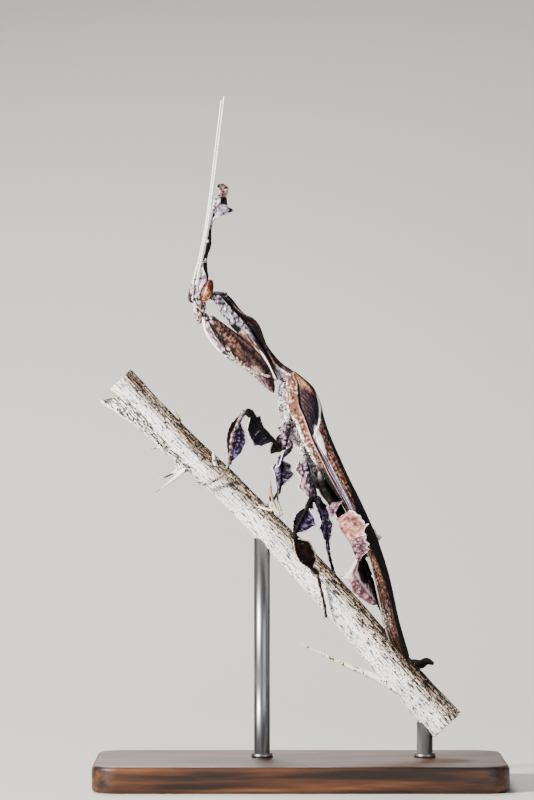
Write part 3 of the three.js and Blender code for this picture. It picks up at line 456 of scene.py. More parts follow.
# a sheet of paper that lies flat, bends up by a quarter circle behind and stands as a backdrop
def makeFloor(floor):
    bend = np.linspace(0, np.pi / 2, 24)
    start, radius = floor["bendStart"], floor["radius"]
    back = np.concatenate([[floor["front"]], start + radius * np.sin(bend), [start + radius]])[:, None]
    high = np.concatenate([[0], radius * (1 - np.cos(bend)), [floor["top"]]])[:, None]
    side = np.array([[-floor["side"], floor["side"]]])
    grid = np.stack([side + 0 * back, back + 0 * side, high + 0 * side], -1)
    index = np.arange(len(back) * 2).reshape(-1, 2)
    quads = np.stack([index[:-1, 0], index[:-1, 1], index[1:, 1], index[1:, 0]], -1)
    mesh = bpy.data.meshes.new("floor")
    mesh.from_pydata(grid.reshape(-1, 3).tolist(), [], quads.tolist())
    mesh.polygons.foreach_set("use_smooth", np.ones(len(quads), bool))
    paper = bpy.data.objects.new("floor", mesh)
    look = Look("floorPaper", Roughness=0.95)
    grain = look.noise(look.place(), 900)
    look.feed(Base_Color=brightened(look, look.rgb(floor["paper"]), 0.97, 1.0, grain))
    # clear when looked at from behind
    look.feed(Alpha=1 - look.node("ShaderNodeNewGeometry", {}, {}, "Backfacing"))
    mesh.materials.append(look.material)
    bpy.context.scene.collection.objects.link(paper)


makeCamera(view)
makeLights(lights)
makeFloor(floor)
print("stage: camera, light and floor")


# display stand

stand = {
    "length": 46,
    "depth": 24,
    "height": 3,
    "corner": 3,
    "edge": 0.5,  # rounding of the edges
    "rodRadius": 0.9,
    "footWide": 1.35,  # the foot ring, as a share of the rod's radius
    "footTall": 0.5,
    "rods": {"stand_rod_upper": -4.26, "stand_rod_lower": 14.0},  # where each stands along X
    "rodBack": 0.9,
    "wood": ("6B4730", "9A6C48", "BC8E66"),
    "steel": "B9BBBE",
}


def woodLook(stand):
    look = Look("darkWood", Specular_IOR_Level=0.35, Coat_Roughness=0.35)
    place = look.place()
    bent = look.stretched(place, 60, 900, 900)
    rings = look.noise(bent, 1.0, 4.0)
    fibre = look.noise(look.stretched(place, 250, 6000, 6000), 1.0, 3.0)
    dark, middle, light = (look.rgb(code) for code in stand["wood"])
    base = look.mix(look.mix(dark, middle, rings.over(0.35, 0.55)), light, rings.over(0.5, 0.75))
    look.feed(Base_Color=brightened(look, base, 0.75, 1.15, fibre))
    look.feed(Roughness=0.38 + fibre * 0.2)
    look.bump(fibre, 0.25, 0.00005)
    return look


def steelLook(stand):
    look = Look("brushedSteel", Metallic=1.0)
    lines = look.noise(look.stretched(look.place(), 9000, 9000, 300), 1.0, 3.0)
    look.feed(Base_Color=brightened(look, look.rgb(stand["steel"]), 0.85, 1.0, lines))
    look.feed(Roughness=0.25 + lines * 0.2)
    look.bump(lines, 0.15, 0.00002)
    return look


# a rounded slab: rings of a rounded rectangle, drawn in by a quarter circle at the edges
def makeStand(stand):
    corner = turns(96)
    outX = np.sign(np.cos(corner)) * (stand["length"] / 2 - stand["corner"])
    outY = np.sign(np.sin(corner)) * (stand["depth"] / 2 - stand["corner"])
    bend = np.linspace(0, np.pi / 2, 7)
    edge = stand["edge"]
    drawn, risen = edge - edge * np.sin(bend), edge - edge * np.cos(bend)
    high = np.concatenate([risen, stand["height"] - risen[::-1]])
    reach = stand["corner"] - np.concatenate([drawn, drawn[::-1]])[:, None]
    x = outX + reach * np.cos(corner)
    y = outY + reach * np.sin(corner)
    slab = np.stack([x, y, high[:, None] + x * 0], -1)
    base = Form()
    base.tube(slab, inked(np.ones(slab.shape), 0))
    base.finish("standBase", woodLook(stand), "base_wood", "stand_base")
    steel = steelLook(stand)
    for node, x in stand["rods"].items():
        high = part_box(node)[1].z * 1000
        foot = stand["height"] + stand["footTall"]
        radius = stand["rodRadius"] * np.array([stand["footWide"], stand["footWide"], 1.0, 1.0, 1.0])
        level = np.array([stand["height"] - 0.05, foot, foot, 12, high])
        level = np.minimum(level, high)
        a = turns(48)
        ring = np.stack([x + radius[:, None] * np.cos(a), stand["rodBack"] + radius[:, None] * np.sin(a)],
                        -1)
        grid = np.concatenate([ring, np.broadcast_to(level[:, None, None], ring.shape[:2] + (1,))], -1)
        rod = Form()
        rod.tube(grid, inked(np.ones(grid.shape), 0))
        rod.finish("rod" + node.split("_")[-1].title(), steel, "rod_steel", node)


makeStand(stand)


# perch: a cut length of dry thistle stem

stem = {
    "line": [(-20.08, 0.9, 45.36), (-13.91, 0.9, 38.77), (-9, 0.9, 34.15), (-4.3, 0.9, 29.42),
             (0.43, 0.9, 24.64),
             (4.91, 0.9, 19.71), (9.3, 0.9, 14.58), (13.76, 0.9, 9.54), (16.41, 0.9, 6.72)],
    "radius": [[0, 1.6], [0.25, 1.7], [0.45, 1.74], [0.6, 1.9], [0.75, 1.95], [1, 2.08]],
    "ribs": 27,
    "pale": "EEDFCC",
    # white for the lit underside: painted light
    "litWhite": "FFFFFF",
    "tan": "B4875E",
    "dark": "2B2421",
    "hairs": 1100,
    "rows": 500,
    "columns": 136,
}
stemRadius = smooth(stem["radius"])


def stemLook():
    look = Look("dryStem", Specular_IOR_Level=0.2)
    flow = look.mark("flow", "Vector")
    tint = look.mark("tint")
    thick = look.mark("tint", "Alpha")
    fibre = look.noise(look.stretched(flow, 0.5, 4.0, 1.0), 1.6, 5.0)
    streak = look.noise(look.stretched(flow, 0.9, 5.0, 1.0), 1.0, 2.0)
    dots = look.noise(look.stretched(flow, 3.4, 5.6, 1.0), 1.0, 1.0)
    base = brightened(look, tint, 0.72, 1.12, fibre)
    base = look.mix(base, look.rgb("2A211E"), (streak + thick * 0.14).over(0.62, 0.66) * 0.9)
    base = look.mix(base, look.rgb("14100E"), (dots + thick * 0.12).over(0.66, 0.69))
    look.feed(Base_Color=base, Roughness=0.75 + fibre * 0.2)
    look.bump(fibre + streak * 0.6, 0.6, 0.00012)
    return look


def makeStem(stem):
    # ring at t: radius(t) * (1 + ribs: |cos| raised between furrows) in the plane square to the line,
    # with the cut ends roughened along the stem
    route = Route(stem["line"])
    t = np.linspace(0, 1, stem["rows"])
    forward = route.toward(t)
    right = np.broadcast_to(depth, forward.shape)
    up = unit(np.cross(forward, right))
    a = turns(stem["columns"])
    along = t[:, None] * route.length + a * 0
    turn = t[:, None] * 0 + a
    wander = 0.3 * (ripple(along, 6.0, 3)
                    - 0.5) + 0.08 * (lumps(np.stack([along, 3 * turn, 0 * turn], -1), 1.6, 4) - 0.5)
    rib = np.abs(np.cos((turn + wander) * stem["ribs"] / 2)) ** 0.6
    place = np.stack([along, 2 * np.cos(turn), 2 * np.sin(turn)], -1)
    fine = lumps(place * [0.35, 2.2, 2.2], 0.5, 5) - 0.5
    coarse = lumps(place, 2.6, 8) - 0.5
    radius = stemRadius(t)[:, None] * (0.935 + 0.065 * rib) + 0.09 * fine + 0.14 * coarse
    grid = route.at(t)[:, None] + up[:, None] * (radius * np.cos(a))[..., None]
    grid = grid + right[:, None] * (radius * np.sin(a))[..., None]
    frayed = 0.5 * (lumps(place * [0.0, 1, 1], 0.5, 11) - 0.5)
    endward = step(t, 0.985, 1.0)[:, None] - (1 - step(t, 0.0, 0.015))[:, None]
    grid = grid + forward[:, None] * (frayed * endward)[..., None]
    # tint: white below as painted light on the lit underside, with dark furrow lines and tan patches on the
    # upper side and a brown upper edge
    high = np.cos(a)[None, :] + 0 * along
    upper = step(high, -0.25, 0.75)
    broken = dotted(place * [0.25, 2.4, 2.4], 0.6, 15, 0.3, 0.55)
    patches = dotted(place * [0.45, 1.6, 1.6], 1.5, 21, 0.46, 0.66)
    tint = blend(stem["litWhite"], stem["pale"], upper)
    tint = blend(tint, stem["tan"], 0.8 * patches * (0.22 + 0.78 * upper))
    furrow = step(1 - rib, 0.45, 0.8) * broken
    tint = blend(tint, stem["dark"], furrow * (0.1 + 0.9 * upper))
    lines = step(1 - rib, 0.3, 0.6) * dotted(place * [0.12, 2.0, 2.0], 0.9, 19, 0.42, 0.55)
    lines = lines * step(high, 0.05, 0.3)
    tint = blend(tint, "120D0B", 0.95 * lines * (1 - step(high, 0.72, 0.85)))
    tint = blend(tint, "4A3222", 0.8 * step(high, 0.8, 0.93)
                 * dotted(place * [0.3, 2, 2], 0.9, 31, 0.35, 0.6))
    flow = np.stack([along, 2.0 * turn, 0 * along], -1)
    form = Form()
    form.tube(grid, inked(tint, 0.4 + 0.5 * upper), flow)
    stemScraps(form, route, stem)
    form.finish("perchStem", stemLook(), "dry_stem", "perch_stem")


def taper(form, points, radius, tint, tip, rows, columns):  # a thorn: a cone along a curve
    def wide(t):
        return radius * (1 - 0.95 * t)

    grid, t = limb(points, wide, wide, rows, columns, side=(0.1, 1, 0.2), low=0.01, high=0.01)[:2]
    form.tube(grid, inked(blend(tint, tip, step(t, 0.15, 0.7)), 0.2))


flange = {
    "start": 0.03, "end": 0.237, "slant": 0.029,  # places along the stem
    # reach of its edge from the stem's axis
    "reach": [[0, 3.25], [0.06, 3.15], [0.13, 2.8], [0.18, 2.75], [0.25, 2.43], [0.32, 2.24], [0.43, 2.03],
              [0.52, 1.94],
              [0.6, 1.92], [0.66, 2.1], [0.71, 1.7], [0.75, 1.85], [0.8, 1.65], [0.86, 2.2], [0.93, 2.55],
              [1, 1.5]],
}


def stemScraps(form, route, stem):
    # a winged leaf base: from inside the stem out to its edge, sagging towards the near side
    reach = ragged(flange["reach"])
    u, v = unitGrid(220, 30)
    t = flange["start"] - flange["slant"] * v * (1 - u) ** 6 + (flange["end"] - flange["start"]) * u
    away = unit(np.cross(route.toward(t), depth))
    saw = 0.12 * np.abs(((u * 43) % 1) - 0.5) + 0.1 * (ripple(u * 30, 1.0, 2) - 0.5)
    out = 0.9 + v * (reach(u) - 0.9 + saw)
    sag = -1.2 + 0.4 * v**2 + 0.12 * v * np.sin(13 * u + 2)
    grid = route.at(t) - away * out[..., None] + depth * sag[..., None]
    place = np.stack([t * route.length, out * 1.2, 0 * u], -1)
    dust = dotted(place, 0.2, 4, 0.4, 0.7)
    tint = blend("FFFDF8", "B38F80", 0.7 * dust * dotted(place, 1.4, 5, 0.35, 0.6))
    tint = blend(tint, "FFFFFF", 0.8 * step(v, 0.9, 0.97))
    form.sheet(grid, 0.24 - 0.1 * v, inked(tint, 1.0 - 0.7 * step(v, 0.85, 0.95)), place)
    thorns = [
        ([(-12.77, 0.1, 35.5), (-14.11, -0.1, 34.27), (-16.18, 0.0, 32.76)], 0.36, "FFFFFF", "F0EEC8"),
        ([(-13.33, 0.1, 35.62), (-14.34, 0.0, 34.83), (-16.02, 0.0, 34.1)], 0.24, "FFFFFF", "EDEBC4"),
        ([(-14.9, 0.1, 37.69), (-15.9, 0.0, 37.74), (-16.86, 0.0, 37.52)], 0.2, "FFFFFF", "F1EFD2"),
        ([(-13.89, 0.1, 36.74), (-14.78, 0.0, 37.02), (-15.68, 0.0, 37.07)], 0.17, "FFFFFF", "F1EFD2"),
        ([(-19.71, 0.1, 42.67), (-21.06, 0.1, 42.84), (-22.46, 0.2, 42.95)], 0.3, "FFFFFF", "FFFFFF"),
        ([(-20.61, 0.6, 43.57), (-21.28, 0.4, 44.07), (-22.18, 0.3, 44.24)], 0.13, "E9E3A8", "E2D78C"),
        ([(-13.33, 0.9, 40.66), (-13.89, 0.9, 41.66), (-14.36, 0.9, 42.56)], 0.14, "D8C27A", "E6C766"),
        ([(-4.7, -0.4, 31.14), (-3.36, -1.2, 30.8), (-1.01, -1.7, 30.41)], 0.15, "FFFDF0", "EFE7AE"),
        ([(-9.41, 0.1, 35.28), (-9.58, -0.4, 36.18), (-9.74, -0.6, 37.35)], 0.42, "FFFFFF", "FFFFFF"),
        ([(-2.58, 0.9, 29.79), (-3.25, 0.9, 31.92), (-3.3, 0.9, 34.22)], 0.6, "F6F1EA", "D8BFA2"),
        ([(-2.13, 0.6, 30.13), (-2.52, 0.4, 32.03), (-2.35, 0.3, 33.04)], 0.3, "EFE8DE", "B79A78"),
        ([(11.54, 0.2, 10.3), (8.06, -0.2, 12.21), (5.04, -0.7, 13.5), (-0.11, -1.2, 15.96)], 0.55,
         "FFFDF8", "F6F3DC"),
    ]
    for points, radius, tint, tip in thorns:
        taper(form, points, radius, tint, tip, 26, 12)
    # the dry leaflet behind the wing tips, brown deepened to near black as painted shade, since it lies in
    # shadow: a sheet folded along its spine and hooked at its end
    u = np.linspace(0, 1, 60)[:, None]
    v = np.linspace(-1, 1, 24)[None, :]
    spine = Route([(11.98, 0.9, 13.55), (12.77, 0.7, 13.5), (13.55, 0.6, 13.44), (14.22, 0.6, 13.78),
                   (15.01, 0.7, 13.5)])
    centre = spine.at(u[:, 0])[:, None]
    out = unit(np.cross(spine.toward(u[:, 0])[:, None], depth))
    half = 0.15 + 0.95 * np.sin(np.pi * np.clip(u * 0.8 + 0.2, 0, 1)) ** 0.7
    grid = centre + depth * (0.5 * half * np.abs(v))[..., None] + out * (0.42 * half * v)[..., None]
    shadedLeafTint = blend("1D1311", "4A3228", lumps(grid, 0.5, 2))
    form.sheet(grid, 0.16, inked(shadedLeafTint, 0.2))
    # fine hairs along the upper side
    rng = np.random.default_rng(7)
    count = stem["hairs"]
    t = rng.random(count)
    a = rng.normal(0, 0.75, count)
    hairs(form, route, t, a, stemRadius(t)[:, None] * 0.97, rng.uniform(0.12, 0.4, count), 0.02, "FFFFFF",
          rng)


def hairs(form, route, t, a, radius, length, thick, tint, rng):
    # each hair: a three-sided cone from the surface, leaning along the route
    forward = route.toward(t)
    right = np.broadcast_to(depth, forward.shape)
    up = unit(np.cross(forward, right))
    out = up * np.cos(a)[:, None] + right * np.sin(a)[:, None]
    root = route.at(t) + out * (radius - 0.08)
    lean = unit(out + forward * rng.uniform(-0.6, 0.4, (len(t), 1)) + rng.normal(0, 0.25, (len(t), 3)))
    cones(form, root, lean, length, thick, tint)


def cones(form, root, lean, length, thick, tint):
    # many three-sided spikes at once: a ring of three points at the root and the tip point four times over
    side = unit(np.cross(lean, np.array([0.31, 0.87, 0.4])))
    other = np.cross(lean, side)
    count = len(root)
    a = turns(3)
    thick = np.broadcast_to(np.asarray(thick, float), (count,))[:, None, None]
    ring = root[:, None] + thick * (side[:, None] * np.cos(a)[:, None] + other[:, None]
                                    * np.sin(a)[:, None])
    tip = (root + lean * np.asarray(length)[:, None])[:, None]
    points = np.concatenate([ring, tip], 1)
    start = np.arange(count)[:, None] * 4
    faces = np.array([[0, 1, 3, 3], [1, 2, 3, 3], [2, 0, 3, 3], [2, 1, 0, 0]])
    faces = (start[..., None] + faces).reshape(-1, 4)
    points = points.reshape(-1, 3)
    form.points.append(points)
    form.faces.append(faces + form.count)
    form.tints.append(np.broadcast_to(np.append(colour(tint), 0.0), (len(points), 4)))
    form.flows.append(points.copy())
    form.count += len(points)


makeStem(stem)


# the insect's own frame: along the body from the wing roots, to its right, up from its axis

trunk = {
    "wingBase": (-0.8, 0, 46.3),
    "slope": 68.4,  # degrees that the body falls towards the tail
    "roll": 10,  # degrees that the back leans to the left
    "wingLength": 34.6,
    "tailTurn": 0.7,  # how far the wing tips lie to the left
}
slope, roll = math.radians(trunk["slope"]), math.radians(trunk["roll"])
tailward = np.array([math.cos(slope), 0, -math.sin(slope)])
backward = np.array([math.sin(slope), 0, math.cos(slope)])
bodySide = depth * math.cos(roll) + backward * math.sin(roll)
bodyUp = backward * math.cos(roll) - depth * math.sin(roll)


# wing base + along * tailward + right * side + up * back, turned left by along squared
def onBody(along, right, up):
    along, right, up = np.broadcast_arrays(along, right, up)
    turn = -trunk["tailTurn"] * (along / trunk["wingLength"]) ** 2
    place = np.array(trunk["wingBase"]) + along[..., None] * tailward + right[..., None] * bodySide
    return place + up[..., None] * bodyUp + turn[..., None] * depth


# wings: a roof over the back, from the middle line down to the leading edge

wing = {
    "start": 0.1,
    "thick": 0.24,
    "rows": 420,
    "columns": 100,
    "top": [[0, 0.2], [2.4, 1.46], [3.7, 1.6], [6.9, 1.25], [12, 1.35], [17, 1.7], [21, 1.85], [25, 1.6],
            [30.8, 0.75], [34.6, 0.4]],
    "edge": [[0, -0.45], [2.2, -1.35], [3.8, -1.74], [5.1, -1.48], [8.5, -1.37], [11.8, -0.75], [15.6, 0.1],
             [19.2, 0.4], [21.8, 0.58], [23.7, 0.38], [27.5, -0.26], [30.7, -0.8], [32.5, -0.85],
             [34.6, -0.3]],
    "half": [[0, 1.3], [2, 2.1], [5, 2.55], [12, 2.5], [18, 2.3], [24, 1.9], [28, 1.55], [32, 1.15],
             [34.6, 0.6]],
    "mainVein": [[0, 0.5], [0.8, 0.53], [2.5, 0.69], [7.5, 0.75], [10.4, 0.77], [12, 0.81], [15.5, 0.9],
                 [20, 0.94],
                 [27, 0.86], [34.6, 0.8]],
    "rim": [[0, 0.05], [3.6, 0.02], [5.0, 0.12], [6.0, 0.27], [6.7, 0.41], [7.6, 0.64]],
    # how far the painted shade of the dark back reaches from the middle line
    "backShade": [[0, 0.12], [2, 0.18], [5, 0.2], [8, 0.18], [11, 0.22], [14, 0.28], [16, 0.44], [18, 0.66],
              [20, 0.72],
              [23, 0.6], [26, 0.46], [31, 0.42], [34.6, 0.75]],
    "veins": (0.14, 0.3, 0.44, 0.58),
    "brown": "B27A64", "gold": "EAC6AE", "deep": "361A14", "costal": "BE9080", "grain": "F2D6C8",
    "rimPale": "FBF6F4",
    "smoke": "846676", "dusk": "40284E", "tan": "E2B8A0", "glare": "FFFFFF", "lilac": "CDC0DC",
    "red": "7A3A26",
}
roofTop, roofEdge, roofHalf = (smooth(wing[key]) for key in ("top", "edge", "half"))


def onRoof(side, along, v, down):
    # right = 0.18 + half * sin(v * 90 degrees), up = top - (top - edge) * (1 - cos(v * 90 degrees))
    angle = v * np.pi / 2
    half = np.maximum(roofHalf(along) - down, 0.12)
    tall = np.maximum(roofTop(along) - roofEdge(along) - 0.4 * down, 0.12)
    right = side * (0.18 + (half - 0.18) * np.sin(angle))
    return onBody(along, right, roofTop(along) - down - tall * (1 - np.cos(angle)))


def wingTint(s, v, side):
    # fields of colour between the veins, with the veins drawn over them
    seed = 40 if side < 0 else 60
    place = np.stack([s, v * 4.2, s * 0], -1)
    cloud = lumps(place * [0.8, 1.4, 1], 1.0, seed)
    fine = 0.6 * lumps(place, 0.15, seed + 1) + 0.4 * lumps(place, 0.33, seed + 4)
    pit = 0.65 * lumps(place, 0.17, seed + 2) + 0.35 * cloud
    vein = smooth(wing["mainVein"])(s)
    rim = ragged(wing["rim"])(s)
    # brown field with golden grains and dark pits, striped along the wing near its end
    tone = blend(wing["brown"], wing["gold"], 0.85 * step(fine, 0.5, 0.66))
    tone = blend(tone, "E3BDBA", 0.6 * dotted(place, 0.26, seed + 9, 0.6, 0.74))
    tone = blend(tone, wing["deep"], 0.9 * step(pit, 0.545, 0.63))
    lines = np.abs(((v * 11 + 0.35 * cloud) % 1) - 0.5) * 2
    tail = step(s, 21, 24)
    tone = blend(tone, "C9AC94", 0.6 * tail * (1 - step(lines, 0.15, 0.4)) * step(v, 0.5, 0.62)
                 * step(fine, 0.3, 0.5))
    # leading field, stippled, darker towards the tip
    leading = step(v, vein + 0.01, vein + 0.04)
    stone = blend(wing["costal"], wing["grain"], step(fine, 0.5, 0.68))
    stone = blend(stone, "4A2C22", 0.8 * dotted(place, 0.17, seed + 14, 0.55, 0.62))
    stone = blend(stone, "C08A58", 0.5 * band(s, 5.0, 2.4) * step(fine, 0.45, 0.6))
    stone = blend(stone, "D2B0A8", 0.4 * step(v, 0.88, 0.97) * step(fine, 0.35, 0.55))
    dim = step(s, 7.5, 12.5)
    stone = blend(stone, blend("6E4438", "1D1112", step(pit, 0.42, 0.56)), 0.92 * dim)
    tone = blend(tone, stone, leading)
    # the smoky field, tan towards the root, with fine lines that run back across it
    smoky = step(v, rim, rim + 0.03) * (1 - step(v, vein - 0.04, vein - 0.01)) * (1 - step(s, 7.2, 8.2))
    rays = np.abs(((s * 0.55 + v * 5.2 + 0.12 * cloud) * 2.3) % 1 - 0.5) * 2
    dusk = step(s + 5.5 * (0.55 - v), 3.0, 6.6)
    smoke = blend(wing["smoke"], wing["dusk"], dusk)
    smoke = blend(smoke, blend("D9BCB4", "A98FC4", dusk), 0.3 * (1 - step(rays, 0.08, 0.3))
                  * step(fine, 0.4, 0.52))
    smoke = blend(smoke, "150D1A", 0.35 * step(rays, 0.7, 0.95))
    front = 1 - step(s + 4.0 * (v - 0.25) + 1.2 * (cloud - 0.5), 2.0, 3.8)
    warm = blend(wing["tan"], "EFC99E", step(fine, 0.5, 0.66))
    warm = blend(warm, "6B3A26", 0.6 * step(pit, 0.56, 0.68))
    smoke = blend(smoke, warm, front)
    tone = blend(tone, smoke, smoky)
    # lilac streaks behind it, the white glare and the thin line that goes on from it
    streak = np.abs(((v * 13 + 0.5 * (cloud - 0.5)) % 1) - 0.5) * 2
    lilac = step(v, 0.56, 0.62) * (1 - step(v, vein - 0.05, vein - 0.02))
    lilac = lilac * step(s, 7.4, 8.6) * (1 - step(s, 15, 20))
    tone = blend(tone, blend(wing["lilac"], "2B1F2B", step(streak, 0.3, 0.6)), 0.9 * lilac)
    middle = 0.53 + 0.012 * (s - 7) + 0.006 * np.clip(s - 10, 0, 9) ** 1.3
    spread = 0.008 + 0.085 * np.clip(1 - np.abs(s - 8.2) / 1.9, 0, 1) ** 0.5
    glare = (1 - step(np.abs(v - middle) / spread, 0.7, 1.3)) * step(s, 6.3, 7.0) * (1 - step(s, 15, 19))
    tone = blend(tone, wing["glare"], glare)
    # the dark back: painted shade, near black, where the back is turned from the light
    edge = smooth(wing["backShade"])(s)
    back = 1 - step(v, edge - 0.05, edge + 0.04 + 0.1 * (fine - 0.5))
    tone = blend(tone, "050304", 0.985 * back)
    # veins: a pale line with a dark one behind it, and the pale ridge round the smoky field
    dark = band(v, vein - 0.035, 0.03 - 0.015 * step(s, 4.5, 8)) * (1 - step(s, 24, 30)) * step(s, 0.3, 1.0)
    tone = blend(tone, "0E080C", 1.25 * dark)
    tone = blend(tone, "EBCFC8", 0.75 * band(v, vein + 0.012, 0.009) * step(s, 3.0, 4.6)
                 * (1 - step(s, 13, 20)))
    ridge = band(v, rim + 0.01, 0.035 + 0.015 * (1 - step(rim, 0.05, 0.3)))
    ridge = ridge * step(s, 2.9, 4.2) * (1 - step(s, 7.2, 8.0))
    tone = blend(tone, wing["rimPale"], 1.2 * ridge)
    for line in wing["veins"]:
        tone = blend(tone, "23130F", 0.6 * band(v, line, 0.008) * step(s, 6, 9))
    shade = step(v, 0.8 + 0.06 * cloud, 0.94) * step(s, 10.6, 12.2) * (1 - step(s, 16.5, 18.5))
    tone = blend(tone, "080505", 0.96 * shade)
    wool = step(v, 0.92, 0.97) * step(s, 4.2, 5.6) * (1 - step(s, 9.6, 11))
    tone = blend(tone, blend("FFFFFF", "2A1A24", dotted(place, 0.19, seed + 13, 0.54, 0.6)), 0.97 * wool)
    fringe = step(v, 0.955, 0.975) * step(s, 0.5, 1.5) * (1 - step(s, 6, 9.5))
    fringe = fringe * dotted(place, 0.24, seed + 11, 0.36, 0.56)
    margin = fringe + 0.6 * step(v, 0.95, 0.98) * step(s, 20, 22)
    tone = blend(tone, wing["rimPale"], 0.85 * margin)
    # the reddish end with pale scuffs
    tone = blend(tone, wing["red"], 0.68 * step(s, 24, 29) * (1 - back))
    net = step(0.07 - np.abs(lumps(place * [1.3, 1.4, 1], 0.34, seed + 7) - 0.5), 0, 0.05)
    scuff = step(s, 27.6, 28.6) * (1 - step(s, 30.3, 31.2)) * step(v, 0.5, 0.7) * net
    tone = blend(tone, "E9DEDA", 0.85 * scuff)
    return blend(tone, "0C0607", 0.95 * step(s, 30.8, 33.5) * (0.4 + 0.6 * step(cloud, 0.3, 0.6)))


def wingLook():
    look = Look("forewing", Specular_IOR_Level=0.18)
    flow = look.mark("flow", "Vector")
    tint = look.mark("tint")
    cells = look.node("ShaderNodeTexVoronoi", {"feature": "DISTANCE_TO_EDGE"},
                      {"Vector": look.stretched(flow, 2.4, 3.6, 1.0), "Scale": 1.0})
    grain = look.noise(look.stretched(flow, 1.0, 1.0, 1.0), 14.0, 3.0)
    net = 1 - cells.over(0.02, 0.14)
    base = brightened(look, tint, 0.7, 1.25, grain)
    base = brightened(look, base, 1.0, 1.4, net)
    specks = (grain + look.mark("tint", "Alpha") * 0.1).over(0.64, 0.7)
    base = look.mix(base, look.rgb("170D0D"), specks * 0.75)
    look.feed(Base_Color=base, Roughness=0.42 + grain * 0.3)
    look.bump(net * 0.7 + grain * 0.5, 0.55, 0.00006)
    return look


def makeForewing(side, name, node, look):
    # a grid over the roof: u down the wing, v across it, both faces, with the veins raised on the outer one
    form = Form()
    u = np.linspace(0, 1, wing["rows"])[:, None]
    v = np.linspace(0, 1, wing["columns"])[None, :]
    roundTip = 1 - 0.045 * (2 * v - 0.7) ** 2 * u**6
    s = wing["start"] + (trunk["wingLength"] - wing["start"]) * u * roundTip
    v = v + 0 * s
    vein = smooth(wing["mainVein"])(s)
    rim = ragged(wing["rim"])(s)
    place = np.stack([s, v * 4.5, s * 0 + side * 3], -1)
    relief = 0.13 * band(v, vein, 0.022) - 0.07 * band(v, vein - 0.05, 0.03)
    relief += 0.1 * band(v, rim, 0.025) * step(s, 3, 4.4) * (1 - step(s, 7.2, 8.4))
    for middle in wing["veins"]:
        relief += 0.055 * band(v, middle, 0.012) * step(s, 1.0, 6.0) * (1 - 0.5 * step(s, 26, 33))
    leading = step(v, vein + 0.02, vein + 0.06)
    relief += 0.07 * (lumps(place * [1.2, 1.5, 1], 0.42, 42) - 0.5) * (0.4 + 0.8 * leading)
    relief += 0.05 * (lumps(place * [0.4, 1.4, 1], 0.8, 45) - 0.5)
    sag = 0.1 * np.sin(v * 9.5) * step(s, 7, 12) * (1 - step(s, 24, 32))
    relief = (relief - 0.04 + 0.2 * sag) * step(v, 0.0, 0.03)
    inset = 0.02 + 0 * s
    outer = onRoof(side, s, v, inset)
    nudge = 1e-3
    normal = unit(np.cross(onRoof(side, s + nudge, v, inset) - outer,
                           onRoof(side, s, v + nudge, inset) - outer)) * side
    margin = 0.03 * np.abs(((s * 2.2) % 1) - 0.5) * step(v, 0.97, 1.0)
    outer = outer + normal * relief[..., None] - bodyUp * margin[..., None]
    inner = onRoof(side, s, v, wing["thick"]) + normal * (0.5 * relief - 0.03)[..., None]
    tint = inked(wingTint(s, v, side), 0.5 * step(s, 8, 14) + 0.4 * leading)
    under = inked(blend("6A5148", "3B2A2A", lumps(place, 1.4, 9)), 0.2)
    ring = np.concatenate([outer, inner[:, ::-1]], 1)
    form.closedSheet(ring, np.concatenate([tint, under[:, ::-1]], 1),
                     np.concatenate([place, place[:, ::-1]], 1))
    form.finish(name, look, "wing", node)


def makeHindwing(side, name, node, look):
    # a plain folded membrane under the forewing: the same roof, lower, with fan folds across it
    form = Form()
    u = np.linspace(0, 1, 160)[:, None]
    v = np.linspace(0, 1, 48)[None, :]
    s = 2.2 + 28.8 * u + 0 * v
    fold = 0.04 * np.sin(v * 60)
    middle = onRoof(side, s, 0.07 + 0.38 * v, 1.12 + fold)
    tint = blend("8F7467", "43302F", lumps(middle, 1.1, 5))
    flow = np.stack([s, v * 3 + 0 * s, s * 0], -1)
    form.sheet(middle, 0.1, inked(tint, 0.2), flow)
    form.finish(name, look, "wing", node)


wingMaterial = wingLook()
for side, word in ((-1, "left"), (1, "right")):
    makeForewing(side, "forewing" + word.title(), "forewing_" + word, wingMaterial)
    makeHindwing(side, "hindwing" + word.title(), "hindwing_" + word, wingMaterial)


# mottled colours

def mottle(points, base, pale, dark, size, seed, shares=(0.35, 0.35)):
    # base, with pale and dark blotches where two layers of noise are high or low
    cloud = 0.6 * lumps(points, size, seed) + 0.4 * lumps(points, size * 0.42, seed + 5)
    tone = blend(colour(base) + 0 * cloud[..., None], pale, step(cloud, 0.62 - 0.3 * shares[0], 0.8))
    return blend(tone, dark, step(1 - cloud, 0.62 - 0.3 * shares[1], 0.8))


def streaky(t, a, length, base, pale, dark, size, seed, shares=(0.35, 0.35)):
    # the same blotches, drawn out four times along a limb: place = (length t / 4, 2 cos a, 2 sin a)
    place = np.stack([length * t / 4, 2 * np.cos(a), 2 * np.sin(a)], -1)
    return mottle(place, base, pale, dark, size, seed, shares)


def cuticleLook(name, rough, grainScale, speckLow):
    # the tint, broken up by grain, with dark specks where its alpha is high
    look = Look(name, Specular_IOR_Level=0.14)
    tint = look.mark("tint")
    thick = look.mark("tint", "Alpha")
    place = look.mark("flow", "Vector")
    grain = look.noise(place, grainScale, 3.0)
    dots = look.noise(place, 5.5, 1.0)
    base = brightened(look, tint, 0.62, 1.32, grain)
    specks = (dots + thick * 0.22).over(speckLow, speckLow + 0.05)
    base = look.mix(base, look.rgb("1A1114"), specks * 0.88)
    glints = (1 - dots + thick * 0.06).over(0.66, 0.72)
    base = brightened(look, base, 1.0, 1.5, glints)
    look.feed(Base_Color=base, Roughness=rough + grain * 0.3)
    look.bump(grain * 0.8 + specks * -0.5, 0.6, 0.00007)
    return look


